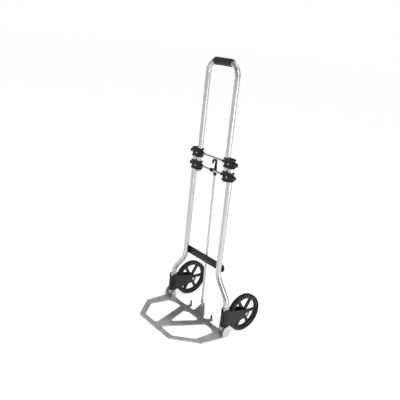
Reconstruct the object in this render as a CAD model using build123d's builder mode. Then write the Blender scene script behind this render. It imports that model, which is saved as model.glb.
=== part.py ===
"""Folding sack truck with a telescoping handle, folding toe plate and swing-in wheels.

Millimetres. +X is the user's right seen from the toe plate, -Y is forward over the toe plate,
+Z is up. The origin is on the underside of the toe plate's rear bar, under the tubes.
"""
import os
from math import cos, radians, sin

from build123d import *

# ---------------------------------------------------------------- driving dimensions
# heights and spacings of the frame
swivel_x = 172.0            # half spacing of the wheel swivel axes
lower_tube_x = 105.0        # half spacing of the lower tubes above their bends
handle_tube_x = 81.0        # half spacing of the handle's legs
bend_low_z = 138.0          # corner where a lower tube leaves its swivel axis
bend_high_z = 216.0         # corner where it turns upright again
bend_radius = 55.0
grip_z = 999.0              # centre of the handle's top run
handle_bend_radius = 45.0
handle_travel = 280.0       # how far the handle slides down

# tubes and rods
lower_tube_od = 22.0
handle_tube_od = 20.0
tube_wall = 1.8
rod_radius = 4.0
plug_depth = 15.0           # of a plug inside the handle's leg
plug_head = 3.0

# clamps
upper_clamp_z = 654.0       # middle of the clamps on top of the lower tubes
lower_clamp_z = 605.0       # middle of the clamps at the foot of the handle
clamp_height = 34.0
clamp_wall = 4.0
clamp_flange = 5.0          # height of the round collars above and below the body
boss_radius = 8.5
boss_length = 12.0
boss_taper = 2.5            # less radius at an inner boss's tip
screw_radius = 1.6
screw_depth = 2.6
screw_head_radius = 3.4
screw_head_height = 2.0
socket_radius = 1.5

# lock plungers
plunger_radius = 3.0
plunger_travel = 6.0
knob_radius = 8.5
knob_length = 7.0

# crossbar
crossbar_z = 246.0
crossbar_height = 30.0
crossbar_sheet = 3.0
crossbar_lip = 3.0
crossbar_overhang = 14.0    # past the middle of each lower tube
rivet_radius = 2.4
rivet_head_radius = 4.5
rivet_head_height = 1.8

# grip
grip_radius = 14.5
grip_wrap = 15.0            # degrees of each bend that the grip covers

# wheels
wheel_radius = 75.0
tyre_depth = 11.0
tyre_width = 24.0
rim_width = 18.0
rim_depth = 6.0
hub_radius = 14.0
hub_width = 24.0
spoke_count = 6
spoke_width = 11.0
spoke_thickness = 8.0
tyre_shoulder = 5.0
axle_reach = 93.0           # axle behind the swivel axis
axle_radius = 4.0
bush_wall = 2.0
hexagon_radius = 7.5
nut_height = 4.0
bolt_tail = 1.5             # past the nut

# wheel forks
sleeve_wall = 6.0           # sleeve's outside over the lower tube's
sleeve_offset = 1.9         # sleeve's foot above the top of the pegs' circle
sleeve_top_z = 110.0
cheek_thickness = 3.5
cheek_end_radius = 17.0
side_play = 1.5             # between tyre and cheek
skirt_drop = 4.0            # the sleeve's foot is lower towards the wheel
skirt_half_angle = 40.0

# feet of the lower tubes
barrel_radius = 12.0        # round the hinge pin
spigot_length = 25.0        # up inside the tube
shoulder_height = 2.5
collar_wall = 2.5
collar_height = 5.0
pin_radius = 4.0
pin_head_radius = 7.0
pin_head_height = 2.5

# toe plate
hinge_z = 23.0
plate_thickness = 5.0
plate_front = 203.0         # front edge ahead of the hinge line
plate_front_half = 101.0
plate_corner_half = 187.0   # widest corner
plate_corner_y = 115.0
bar_rear = 10.0             # rear edge behind the hinge line
bar_front = 14.0            # front edge of the rear bar
rim_bar = 22.0              # width of the front bar
rib_half = 16.0             # from the middle to a side window, at the front bar
side_window_rear_in = 82.0  # inner and outer rear corners of a side window
side_window_rear_out = 112.0
side_bar = 34.0             # width of a side bar at the plate's widest corner
side_window_radius = 9.0
centre_window_tip = 128.0
centre_window_half = 44.0
centre_window_rear_half = 30.0
centre_window_radius = 7.0
ear_foot = 12.0             # behind the hinge line
outer_ear_radius = 19.0
inner_ear_radius = 10.0
ear_thickness = 4.0
tab_x = 68.0
tab_width = 8.0
tab_thickness = 3.0
tab_rear = 28.0
tab_height = 27.0
lug_half = 30.0
lug_root_y = 20.0
lug_lean = 24.0             # degrees backwards
lug_rise = 34.0             # from its root to the middle of its eye
lug_eye_radius = 9.0
lug_thickness = 3.0
eyelet_bore = 3.2
eyelet_wall = 2.0
eyelet_lip = 1.6
eyelet_sheet = 1.0

# fold drive: crossed pegs on the plate's outer ears and under the sleeves
peg_offset = 2.6            # from a lower tube's wall to the pegs' circle
peg_radius = 1.3
peg_step = 30.0
peg_bite = 1.6
peg_hole = 5.0
plate_pegs = 4

# cord and hook
cord_radius = 5.0
cord_split_z = 110.0
hook_offset = 6.0           # from the back of the tubes to the hook's shank
hook_width = 12.0
hook_shank = 8.5
hook_bend_radius = 8.0
hook_drop = 8.0             # hook's top below the middle of the upper clamps
clip_wall = 3.5
clip_bridge = 9.0
socket_wall = 2.5           # of the hook's foot round the cord's end
eye_sheet = 1.6
neck_width = 7.0
ferrule_length = 15.0
ferrule_wall = 1.5

# clearances
slide_gap = 0.1             # sliding and running fits, radial
seat_gap = 0.02             # seats inside one body
body_gap = 1.0              # pieces that pass each other

# ---------------------------------------------------------------- derived places
lower_tube_r = lower_tube_od / 2
handle_tube_r = handle_tube_od / 2
lower_bore_r = lower_tube_r - tube_wall
sleeve_bore = lower_tube_r + slide_gap
sleeve_radius = lower_tube_r + sleeve_wall
peg_circle = lower_tube_r + peg_offset
sleeve_foot_z = hinge_z + peg_circle + sleeve_offset
hook_y = lower_tube_r + hook_offset
cheek_inner = tyre_width / 2 + side_play
cheek_outer = cheek_inner + cheek_thickness
ear_inner_face = cheek_outer + body_gap + 0.5
fitting_half = peg_circle - peg_bite - 3 * body_gap
shoulder_radius = sleeve_bore + 0.4
inner_ear_face = fitting_half + shoulder_height + body_gap
lower_tube_foot_z = sleeve_foot_z - shoulder_height
clamp_front = lower_tube_r + clamp_wall
clamp_in = handle_tube_x - handle_tube_r - clamp_wall
clamp_out = lower_tube_x + lower_tube_r + clamp_wall
boss_in = clamp_in - boss_length
boss_out = clamp_out + boss_length / 2
rod_half = boss_in + boss_length - 2 * body_gap
crossbar_front_y = lower_tube_r + seat_gap
crossbar_rear_y = crossbar_front_y + crossbar_sheet
rim_outer = wheel_radius - tyre_depth
rim_inner = rim_outer - rim_depth
lug_plane = Plane(
    origin=(0, lug_root_y, plate_thickness),
    x_dir=(1, 0, 0),
    z_dir=(0, -cos(radians(lug_lean)), sin(radians(lug_lean))),
)
eye_y = lug_root_y + lug_rise * sin(radians(lug_lean))
eye_z = plate_thickness + lug_rise * cos(radians(lug_lean))
ferrule_radius = cord_radius + ferrule_wall
ferrule_foot_z = eye_z + lug_eye_radius + 2 * body_gap
ferrule_top_z = ferrule_foot_z + ferrule_length
cord_foot_y = eye_y - ferrule_radius
cord_top_z = lower_clamp_z - clamp_height / 2 - clamp_wall


def cord_y(z):
    """Where the straight cord stands behind the tubes at height z."""
    share = (z - ferrule_foot_z) / (cord_top_z - ferrule_foot_z)
    return cord_foot_y + (hook_y - cord_foot_y) * share


def side_name(side):
    """The word for a side: +1 is right, -1 is left."""
    return "right" if side > 0 else "left"


def save(piece, name):
    """Label a finished piece and write it as its own STEP file."""
    piece.label = name
    export_step(piece, f"parts/{name}.step")


def along_x(x, y=0.0, z=0.0):
    """A plane facing +X at a place, with its own x along Y and its own y along Z."""
    return Plane(origin=(x, y, z), x_dir=(0, 1, 0), z_dir=(1, 0, 0))


def facing_front(x, y, z):
    """A plane facing -Y at a place, with its own x along X and its own y along Z."""
    return Plane(origin=(x, y, z), x_dir=(1, 0, 0), z_dir=(0, -1, 0))


os.makedirs("parts", exist_ok=True)


# ---------------------------------------------------------------- frame
def lower_tube(side):
    """One lower tube: upright through its wheel sleeve, bent inwards, upright again."""
    swivel = side * swivel_x
    upper = side * lower_tube_x
    top_z = upper_clamp_z + clamp_height / 2 - 3 * body_gap
    with BuildPart() as tube:
        with BuildLine(Plane.XZ) as path:
            FilletPolyline(
                (swivel, lower_tube_foot_z),
                (swivel, bend_low_z),
                (upper, bend_high_z),
                (upper, top_z),
                radius=bend_radius,
            )
        with BuildSketch(Plane(origin=(swivel, 0, lower_tube_foot_z), z_dir=(0, 0, 1))):
            Circle(lower_tube_r)
            Circle(lower_bore_r, mode=Mode.SUBTRACT)
        sweep(path=path.line)
        # the lock plunger passes through both walls
        with BuildSketch(along_x(upper - lower_tube_od, 0, upper_clamp_z)):
            Circle(plunger_radius + 4 * slide_gap)
        extrude(amount=2 * lower_tube_od, mode=Mode.SUBTRACT)
        # crossbar rivets enter the rear wall
        for height in rivet_heights():
            with BuildSketch(Plane(origin=(upper, 0, height), x_dir=(1, 0, 0), z_dir=(0, 1, 0))):
                Circle(rivet_radius + seat_gap)
            extrude(amount=lower_tube_od, mode=Mode.SUBTRACT)
    return tube.part


def rivet_heights():
    """Heights of the two rivets in each end of the crossbar."""
    return [crossbar_z - crossbar_height / 4, crossbar_z + crossbar_height / 4]


for side in (-1, 1):
    save(lower_tube(side), f"{side_name(side)}_lower_tube")

with BuildPart() as crossbar:
    half = lower_tube_x + crossbar_overhang
    with BuildSketch(Plane(origin=(0, crossbar_front_y, crossbar_z), x_dir=(-1, 0, 0), z_dir=(0, 1, 0))):
        RectangleRounded(2 * half, crossbar_height, crossbar_height / 2 - 2 * body_gap)
    extrude(amount=crossbar_sheet + crossbar_lip)
    with BuildSketch(Plane(origin=(0, crossbar_rear_y, crossbar_z), x_dir=(-1, 0, 0), z_dir=(0, 1, 0))):
        inner_height = crossbar_height - 2 * crossbar_lip
        RectangleRounded(2 * (half - crossbar_lip), inner_height, inner_height / 2 - body_gap)
    extrude(amount=crossbar_lip, mode=Mode.SUBTRACT)
    for x in (-lower_tube_x, lower_tube_x):
        for height in rivet_heights():
            with BuildSketch(Plane(origin=(x, 0, height), x_dir=(1, 0, 0), z_dir=(0, 1, 0))):
                Circle(rivet_radius + seat_gap)
            extrude(amount=2 * lower_tube_od, mode=Mode.SUBTRACT)
save(crossbar.part, "crossbar")

with BuildPart() as crossbar_rivets:
    rivet_tip_y = lower_bore_r
    for x in (-lower_tube_x, lower_tube_x):
        for height in rivet_heights():
            with BuildSketch(Plane(origin=(x, rivet_tip_y, height), x_dir=(1, 0, 0), z_dir=(0, 1, 0))):
                Circle(rivet_radius)
            extrude(amount=crossbar_rear_y - rivet_tip_y)
            with BuildSketch(Plane(origin=(x, crossbar_rear_y, height), x_dir=(1, 0, 0), z_dir=(0, 1, 0))):
                Circle(rivet_head_radius)
            extrude(amount=rivet_head_height)
save(crossbar_rivets.part, "crossbar_rivets")


def clamp(side, middle_z, slides_on_handle):
    """A moulded clamp round one lower tube and one handle leg, with bosses on both sides."""
    handle_hole = handle_tube_r + (slide_gap if slides_on_handle else seat_gap)
    lower_hole = lower_tube_r + (seat_gap if slides_on_handle else slide_gap)
    foot_z = middle_z - clamp_height / 2
    with BuildPart() as body:
        for x, radius in ((handle_tube_x, handle_tube_r), (lower_tube_x, lower_tube_r)):
            with BuildSketch(Plane.XY.offset(foot_z)):
                with Locations((side * x, 0)):
                    Circle(radius + clamp_wall)
            extrude(amount=clamp_height)
        with BuildSketch(Plane.XY.offset(foot_z + clamp_flange)):
            with Locations((side * (handle_tube_x + lower_tube_x) / 2, 0)):
                RectangleRounded(clamp_out - clamp_in, 2 * clamp_front, clamp_front - body_gap)
        extrude(amount=clamp_height - 2 * clamp_flange)
        with BuildSketch(along_x(side * boss_in, 0, middle_z)):
            Circle(boss_radius - boss_taper)
        with BuildSketch(along_x(side * (clamp_in + clamp_wall / 2), 0, middle_z)):
            Circle(boss_radius)
        loft()
        outer_from = min(side * (clamp_out - clamp_wall), side * boss_out)
        with BuildSketch(along_x(outer_from, 0, middle_z)):
            Circle(boss_radius)
        extrude(amount=boss_out - clamp_out + clamp_wall)
        # tube bores
        for x, radius in ((handle_tube_x, handle_hole), (lower_tube_x, lower_hole)):
            with BuildSketch(Plane.XY.offset(foot_z)):
                with Locations((side * x, 0)):
                    Circle(radius)
            extrude(amount=clamp_height, mode=Mode.SUBTRACT)
        # socket of the cross rod
        with BuildSketch(along_x(min(side * boss_in, side * rod_half), 0, middle_z)):
            Circle(rod_radius + seat_gap)
        extrude(amount=rod_half - boss_in, mode=Mode.SUBTRACT)
        # bore of the lock plunger or of the end cap's stem
        bore_from = min(side * lower_tube_x, side * boss_out)
        with BuildSketch(along_x(bore_from, 0, middle_z)):
            Circle(plunger_radius + slide_gap)
        extrude(amount=boss_out - lower_tube_x, mode=Mode.SUBTRACT)
        if slides_on_handle:
            tip_from = min(side * handle_tube_x, side * lower_tube_x)
            with BuildSketch(along_x(tip_from, 0, middle_z)):
                Circle(plunger_radius + slide_gap)
            extrude(amount=lower_tube_x - handle_tube_x, mode=Mode.SUBTRACT)
        # screw holes in the front wall
        for x in (handle_tube_x, lower_tube_x):
            with BuildSketch(facing_front(side * x, -clamp_front, middle_z)):
                Circle(screw_radius + seat_gap)
            extrude(amount=-screw_depth, mode=Mode.SUBTRACT)
    return body.part


def clamp_screws(middle_z):
    """The socket-head screws in the fronts of both clamps at one height."""
    with BuildPart() as screws:
        for side in (-1, 1):
            for x in (handle_tube_x, lower_tube_x):
                with BuildSketch(facing_front(side * x, -clamp_front + screw_depth, middle_z)):
                    Circle(screw_radius)
                extrude(amount=screw_depth)
                with BuildSketch(facing_front(side * x, -clamp_front, middle_z)):
                    Circle(screw_head_radius)
                extrude(amount=screw_head_height)
                with BuildSketch(facing_front(side * x, -clamp_front - screw_head_height, middle_z)):
                    RegularPolygon(socket_radius, 6)
                extrude(amount=-screw_head_height / 2, mode=Mode.SUBTRACT)
    return screws.part


for side in (-1, 1):
    save(clamp(side, upper_clamp_z, True), f"{side_name(side)}_upper_clamp")
    save(clamp(side, lower_clamp_z, False), f"{side_name(side)}_lower_clamp")
save(clamp_screws(upper_clamp_z), "upper_clamp_screws")
save(clamp_screws(lower_clamp_z), "lower_clamp_screws")


def cross_rod(middle_z):
    """A round rod between the inner bosses of two clamps."""
    with BuildPart() as rod:
        with BuildSketch(along_x(-rod_half, 0, middle_z)):
            Circle(rod_radius)
        extrude(amount=2 * rod_half)
    return rod.part


save(cross_rod(upper_clamp_z), "upper_cross_rod")
save(cross_rod(lower_clamp_z), "lower_cross_rod")


def lock_plunger(side):
    """A pull knob on a pin that bears on the handle leg through the lower tube."""
    tip = handle_tube_x + handle_tube_r + 3 * slide_gap
    stem_end = boss_out + body_gap / 2
    with BuildPart() as plunger:
        with BuildSketch(along_x(min(side * tip, side * stem_end), 0, upper_clamp_z)):
            Circle(plunger_radius)
        extrude(amount=stem_end - tip)
        knob_from = min(side * stem_end, side * (stem_end + knob_length))
        with BuildSketch(along_x(knob_from, 0, upper_clamp_z)):
            Circle(knob_radius)
        extrude(amount=knob_length)
    return plunger.part


def clamp_cap(side):
    """The blind cap pressed into a lower clamp's outer boss."""
    stem_from = lower_tube_x + lower_tube_r + body_gap
    with BuildPart() as cap:
        with BuildSketch(along_x(min(side * stem_from, side * boss_out), 0, lower_clamp_z)):
            Circle(plunger_radius)
        extrude(amount=boss_out - stem_from)
        cap_end = boss_out + knob_length
        with BuildSketch(along_x(min(side * boss_out, side * cap_end), 0, lower_clamp_z)):
            Circle(knob_radius - body_gap)
        extrude(amount=knob_length)
    return cap.part


for side in (-1, 1):
    save(lock_plunger(side), f"{side_name(side)}_lock_plunger")
    save(clamp_cap(side), f"{side_name(side)}_clamp_cap")


def end_fitting(side):
    """The solid foot of a lower tube, which carries the toe plate's hinge pin."""
    x = side * swivel_x
    block_top = lower_tube_foot_z - shoulder_height
    with BuildPart() as fitting:
        with BuildSketch(along_x(x - fitting_half, 0, hinge_z)):
            Circle(barrel_radius)
            with Locations((0, (block_top - hinge_z) / 2)):
                Rectangle(2 * barrel_radius, block_top - hinge_z)
        extrude(amount=2 * fitting_half)
        with BuildSketch(Plane.XY.offset(block_top)):
            with Locations((x, 0)):
                Circle(shoulder_radius)
        extrude(amount=lower_tube_foot_z - block_top)
        with BuildSketch(Plane.XY.offset(lower_tube_foot_z)):
            with Locations((x, 0)):
                Circle(lower_bore_r - seat_gap)
        extrude(amount=spigot_length)
        with BuildSketch(along_x(x - fitting_half, 0, hinge_z)):
            Circle(pin_radius + slide_gap)
        extrude(amount=2 * fitting_half, mode=Mode.SUBTRACT)
    return fitting.part


def hinge_pin(side):
    """The headed pin through both ears and the tube's end fitting."""
    outer = swivel_x + ear_inner_face + ear_thickness
    inner = swivel_x - inner_ear_face - ear_thickness
    with BuildPart() as pin:
        with BuildSketch(along_x(min(side * outer, side * inner), 0, hinge_z)):
            Circle(pin_radius)
        extrude(amount=outer - inner)
        head_end = outer + pin_head_height
        with BuildSketch(along_x(min(side * outer, side * head_end), 0, hinge_z)):
            Circle(pin_head_radius)
        extrude(amount=pin_head_height)
    return pin.part


def stop_collar(side):
    """The ring on a lower tube that rests on top of its wheel sleeve."""
    with BuildPart() as collar:
        with BuildSketch(Plane.XY.offset(sleeve_top_z + 4 * slide_gap)):
            with Locations((side * swivel_x, 0)):
                Circle(lower_tube_r + collar_wall)
                Circle(lower_tube_r + seat_gap, mode=Mode.SUBTRACT)
        extrude(amount=collar_height)
    return collar.part


for side in (-1, 1):
    save(end_fitting(side), f"{side_name(side)}_end_fitting")
    save(hinge_pin(side), f"{side_name(side)}_hinge_pin")
    save(stop_collar(side), f"{side_name(side)}_stop_collar")

# ---------------------------------------------------------------- handle
handle_foot_z = lower_clamp_z - clamp_height / 2 - 2 * body_gap
with BuildPart() as handle_tube:
    with BuildLine(Plane.XZ) as handle_path:
        FilletPolyline(
            (-handle_tube_x, handle_foot_z),
            (-handle_tube_x, grip_z),
            (handle_tube_x, grip_z),
            (handle_tube_x, handle_foot_z),
            radius=handle_bend_radius,
        )
    with BuildSketch(Plane(origin=(-handle_tube_x, 0, handle_foot_z), z_dir=(0, 0, 1))):
        Circle(handle_tube_r)
        Circle(handle_tube_r - tube_wall, mode=Mode.SUBTRACT)
    sweep(path=handle_path.line)
save(handle_tube.part, "handle_tube")

with BuildPart() as handle_grip:
    bend_x = handle_tube_x - handle_bend_radius
    bend_z = grip_z - handle_bend_radius
    with BuildLine(Plane.XZ) as grip_path:
        first = CenterArc((-bend_x, bend_z), handle_bend_radius, 90 + grip_wrap, -grip_wrap)
        top = Line(first @ 1, (bend_x, grip_z))
        CenterArc((bend_x, bend_z), handle_bend_radius, 90, -grip_wrap)
    with BuildSketch(Plane(origin=grip_path.line @ 0, z_dir=grip_path.line % 0)):
        Circle(grip_radius)
        Circle(handle_tube_r + seat_gap, mode=Mode.SUBTRACT)
    sweep(path=grip_path.line)
save(handle_grip.part, "handle_grip")

with BuildPart() as handle_end_plugs:
    for x in (-handle_tube_x, handle_tube_x):
        with BuildSketch(Plane.XY.offset(handle_foot_z)):
            with Locations((x, 0)):
                Circle(handle_tube_r - tube_wall - seat_gap)
        extrude(amount=plug_depth)
        with BuildSketch(Plane.XY.offset(handle_foot_z)):
            with Locations((x, 0)):
                Circle(handle_tube_r)
        extrude(amount=-plug_head)
save(handle_end_plugs.part, "handle_end_plugs")

# ---------------------------------------------------------------- cord and its fittings
hook_top_z = upper_clamp_z - hook_drop
hook_outer = hook_bend_radius + hook_shank / 2
hook_inner = hook_bend_radius - hook_shank / 2
hook_bend_z = hook_top_z - hook_outer + 2 * body_gap
shank_foot_z = lower_clamp_z + clip_bridge / 2
with BuildPart() as cord_hook:
    # clip round the lower cross rod
    with BuildSketch(along_x(-hook_width / 2, 0, lower_clamp_z)):
        Circle(rod_radius + clip_wall)
        with Locations((hook_y / 2, 0)):
            Rectangle(hook_y, clip_bridge)
        Circle(rod_radius + seat_gap, mode=Mode.SUBTRACT)
    extrude(amount=hook_width)
    # body that grips the cord's end
    with BuildSketch(Plane.XY.offset(cord_top_z)):
        with Locations((0, hook_y)):
            Circle(cord_radius + socket_wall)
    with BuildSketch(Plane.XY.offset(shank_foot_z + body_gap)):
        with Locations((0, hook_y)):
            Circle(cord_radius + socket_wall - body_gap)
    loft()
    # shank and finger hook above the rod
    with BuildSketch(Plane.XY.offset(shank_foot_z)):
        with Locations((0, hook_y)):
            RectangleRounded(hook_width - 2 * body_gap, hook_shank, hook_shank / 3)
    extrude(amount=hook_bend_z - shank_foot_z)
    with BuildSketch(along_x(body_gap - hook_width / 2, hook_y - hook_bend_radius, hook_bend_z)):
        with BuildLine():
            CenterArc((0, 0), hook_inner, 0, 180)
            Line((-hook_inner, 0), (-hook_outer, 0))
            CenterArc((0, 0), hook_outer, 180, -180)
            Line((hook_outer, 0), (hook_inner, 0))
        make_face()
    extrude(amount=hook_width - 2 * body_gap)
save(cord_hook.part, "cord_hook")


def cord_run(foot_z, top_z, name):
    """A straight stretch of the stretched elastic cord."""
    foot = Vector(0, cord_y(foot_z), foot_z)
    top = Vector(0, cord_y(top_z), top_z)
    with BuildPart() as run:
        with BuildSketch(Plane(origin=foot, x_dir=(1, 0, 0), z_dir=top - foot)):
            Circle(cord_radius)
        extrude(amount=(top - foot).length)
    save(run.part, name)


cord_run(cord_split_z, cord_top_z - body_gap / 2, "elastic_cord")
cord_run(ferrule_top_z + 3 * slide_gap, cord_split_z, "cord_tail")

eyelet_outer = eyelet_bore + eyelet_wall
eyelet_flange = eyelet_outer + eyelet_lip
neck_foot_rise = lug_rise + eyelet_flange + 3 * slide_gap


def lug_front(rise, proud):
    """Y and Z of a point on the lug's front face, so far up from its root and so far proud of it."""
    lean = radians(lug_lean)
    out = lug_thickness / 2 + seat_gap + proud
    return (
        lug_root_y + rise * sin(lean) - out * cos(lean),
        plate_thickness + rise * cos(lean) + out * sin(lean),
    )


with BuildPart() as cord_terminal:
    # crimped ferrule
    with BuildSketch(Plane.XY.offset(ferrule_foot_z)):
        with Locations((0, cord_y(ferrule_foot_z))):
            Circle(ferrule_radius)
    extrude(amount=ferrule_length)
    # neck from the ferrule down to the lug's front face
    with BuildSketch(along_x(-neck_width / 2)):
        with BuildLine():
            Polyline(
                lug_front(neck_foot_rise, 0.0),
                lug_front(neck_foot_rise, eye_sheet),
                (cord_foot_y - neck_width / 3, ferrule_foot_z + body_gap),
                (cord_foot_y + neck_width / 2, ferrule_foot_z + body_gap),
                close=True,
            )
        make_face()
    extrude(amount=neck_width)
    # flat eye on the front of the lug
    with BuildSketch(lug_plane.offset(lug_thickness / 2 + seat_gap)):
        with Locations((0, lug_rise)):
            Circle(lug_eye_radius)
        with Locations((0, lug_rise)):
            Circle(eyelet_outer + seat_gap, mode=Mode.SUBTRACT)
    extrude(amount=eye_sheet)
save(cord_terminal.part, "cord_terminal")

with BuildPart() as lug_eyelet:
    lip_rear = -lug_thickness / 2 - eyelet_sheet - seat_gap
    lip_front = lug_thickness / 2 + eye_sheet + 2 * seat_gap
    with BuildSketch(lug_plane.offset(lip_rear)):
        with Locations((0, lug_rise)):
            Circle(eyelet_outer)
            Circle(eyelet_bore, mode=Mode.SUBTRACT)
    extrude(amount=lip_front + eyelet_sheet - lip_rear)
    for offset in (lip_rear, lip_front):
        with BuildSketch(lug_plane.offset(offset)):
            with Locations((0, lug_rise)):
                Circle(eyelet_flange)
                Circle(eyelet_bore, mode=Mode.SUBTRACT)
        extrude(amount=eyelet_sheet)
save(lug_eyelet.part, "lug_eyelet")

# ---------------------------------------------------------------- toe plate
ear_out = swivel_x + ear_inner_face + ear_thickness
ear_in = swivel_x - inner_ear_face - ear_thickness


def plate_peg_places():
    """Places of the pegs on an outer ear, in Y and Z from the hinge axis: top to front."""
    angles = [radians(-peg_step * i) for i in range(plate_pegs)]
    return [(peg_circle * sin(a), peg_circle * cos(a)) for a in angles]


def mirrored(points):
    """An outline's right half, from the front centre to the rear, closed by its left half."""
    return points + [(-x, y) for x, y in reversed(points)]


with BuildPart() as toe_plate:
    with BuildSketch():
        with BuildLine():
            Polyline(
                *mirrored([
                    (plate_front_half, -plate_front),
                    (plate_corner_half, -plate_corner_y),
                    (ear_out, -outer_ear_radius - ear_thickness),
                    (ear_out, ear_foot),
                    (ear_in, ear_foot),
                    (side_window_rear_out, bar_rear - 2 * body_gap),
                    (tab_x + tab_width, bar_rear),
                    (tab_x + tab_width / 2, tab_rear),
                    (tab_x - tab_width / 2, tab_rear),
                    (tab_x - 2 * tab_width, bar_rear),
                    (lug_half + tab_width / 2, bar_rear),
                    (lug_half, lug_root_y + lug_thickness / 2),
                ]),
                close=True,
            )
        make_face()
    extrude(amount=plate_thickness)
    # two side windows and the centre window
    with BuildSketch() as windows:
        side_window = [
            (rib_half, -plate_front + rim_bar),
            (plate_front_half - bar_rear, -plate_front + rim_bar),
            (plate_corner_half - side_bar, -plate_corner_y),
            (plate_corner_half - side_bar - 2 * tab_thickness, -2 * bar_front),
            (side_window_rear_out, -bar_front),
            (side_window_rear_in, -bar_front),
        ]
        for side in (-1, 1):
            with BuildLine():
                mirrored_window = [(side * x, y) for x, y in side_window]
                FilletPolyline(*mirrored_window, radius=side_window_radius, close=True)
            make_face()
        with BuildLine():
            FilletPolyline(
                (0, -centre_window_tip),
                (centre_window_half, -2 * bar_front),
                (centre_window_rear_half, -bar_front),
                (-centre_window_rear_half, -bar_front),
                (-centre_window_half, -2 * bar_front),
                radius=centre_window_radius,
                close=True,
            )
        make_face()
    extrude(amount=plate_thickness, mode=Mode.SUBTRACT)
    # ears
    for side in (-1, 1):
        outer_from = min(side * (ear_out - ear_thickness), side * ear_out)
        with BuildSketch(along_x(outer_from, 0, hinge_z)):
            Circle(outer_ear_radius)
            with Locations(((ear_foot - outer_ear_radius) / 2, -hinge_z / 2)):
                Rectangle(ear_foot + outer_ear_radius, hinge_z)
        extrude(amount=ear_thickness)
        inner_from = min(side * ear_in, side * (ear_in + ear_thickness))
        with BuildSketch(along_x(inner_from, 0, hinge_z)):
            Circle(inner_ear_radius)
            with Locations((0, -hinge_z / 2)):
                Rectangle(2 * inner_ear_radius, hinge_z)
        extrude(amount=ear_thickness)
        pin_from = min(side * ear_in, side * ear_out)
        with BuildSketch(along_x(pin_from, 0, hinge_z)):
            Circle(pin_radius + seat_gap)
        extrude(amount=ear_out - ear_in, mode=Mode.SUBTRACT)
    # tabs behind the rear bar
    for x in (-tab_x, tab_x):
        with BuildSketch(Plane(origin=(x, tab_rear, plate_thickness), x_dir=(-1, 0, 0), z_dir=(0, 1, 0))):
            with BuildLine():
                half_top = tab_width / 4
                rise = tab_height - plate_thickness
                Polyline((-tab_width / 2, 0), (-half_top, rise), (half_top, rise), (tab_width / 2, 0), close=True)
            make_face()
        extrude(amount=-tab_thickness)
    # leaning lug with its eye
    with BuildSketch(lug_plane.offset(-lug_thickness / 2)):
        with Locations((0, lug_rise)):
            Circle(lug_eye_radius)
        with Locations((0, -lug_thickness / 4)):
            Rectangle(2 * lug_half, lug_thickness / 2)
        make_hull()
        with Locations((0, lug_rise)):
            Circle(eyelet_outer + seat_gap, mode=Mode.SUBTRACT)
    extrude(amount=lug_thickness)
    # holes of the drive pegs
    for side in (-1, 1):
        face = ear_out - ear_thickness
        peg_from = min(side * face, side * (face + ear_thickness / 2))
        with BuildSketch(along_x(peg_from, 0, hinge_z)):
            with Locations(*plate_peg_places()):
                Circle(peg_radius + seat_gap)
        extrude(amount=ear_thickness / 2, mode=Mode.SUBTRACT)
save(toe_plate.part, "toe_plate")


def plate_drive_pegs(side):
    """The pegs that stand inwards from an outer ear, on a circle round the hinge axis."""
    root = ear_out - ear_thickness / 2
    tip = swivel_x + peg_circle - peg_bite
    with BuildPart() as pegs:
        with BuildSketch(along_x(min(side * root, side * tip), 0, hinge_z)):
            with Locations(*plate_peg_places()):
                Circle(peg_radius)
        extrude(amount=root - tip)
    return pegs.part


# ---------------------------------------------------------------- wheel forks and wheels
def fork_peg_places(side):
    """Places of the pegs under a sleeve: half a step off the plate's, outer side to front."""
    angles = [radians(peg_step / 2 - peg_step * i) for i in range(plate_pegs + 1)]
    return [(side * (swivel_x + peg_circle * cos(a)), peg_circle * sin(a)) for a in angles]


def wheel_fork(side):
    """The sleeve that swivels on a lower tube, with two cheeks that carry the axle."""
    x = side * swivel_x
    height = sleeve_top_z - sleeve_foot_z
    skirt_foot_z = sleeve_foot_z - skirt_drop
    with BuildPart() as fork:
        with BuildSketch(Plane.XY.offset(sleeve_foot_z)):
            with Locations((x, 0)):
                Circle(sleeve_radius)
        extrude(amount=height)
        # skirt on the wheel's side of the sleeve
        with BuildSketch(Plane.XY.offset(skirt_foot_z)):
            with BuildLine():
                start = 90 - skirt_half_angle
                arc = CenterArc((x, 0), sleeve_radius, start, 2 * skirt_half_angle)
                Polyline(arc @ 1, (x, 0), arc @ 0)
            make_face()
            with Locations((x, 0)):
                Circle(shoulder_radius + body_gap / 2, mode=Mode.SUBTRACT)
        extrude(amount=skirt_drop)
        # cheeks: a teardrop from the sleeve to the axle
        for inner_face in (-cheek_outer, cheek_inner):
            with BuildSketch(along_x(x + inner_face, 0, 0)):
                with Locations((axle_reach, wheel_radius)):
                    Circle(cheek_end_radius)
                with Locations((cheek_thickness, (sleeve_foot_z + sleeve_top_z) / 2)):
                    Rectangle(2 * cheek_thickness, height - 5 * body_gap)
                make_hull()
            extrude(amount=cheek_thickness)
        with BuildSketch(Plane.XY.offset(skirt_foot_z)):
            with Locations((x, 0)):
                Circle(sleeve_bore)
        extrude(amount=height + skirt_drop, mode=Mode.SUBTRACT)
        with BuildSketch(along_x(x - cheek_outer, axle_reach, wheel_radius)):
            Circle(axle_radius + seat_gap)
        extrude(amount=2 * cheek_outer, mode=Mode.SUBTRACT)
        with BuildSketch(Plane.XY.offset(sleeve_foot_z)):
            with Locations(*fork_peg_places(side)):
                Circle(peg_radius + seat_gap)
        extrude(amount=peg_hole, mode=Mode.SUBTRACT)
    return fork.part


def fork_drive_pegs(side):
    """The pegs that hang under a sleeve and mesh with the pegs of the toe plate's ear."""
    tip_z = hinge_z + peg_circle - peg_bite
    with BuildPart() as pegs:
        with BuildSketch(Plane.XY.offset(tip_z)):
            with Locations(*fork_peg_places(side)):
                Circle(peg_radius)
        extrude(amount=sleeve_foot_z + peg_hole - tip_z)
    return pegs.part


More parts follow.
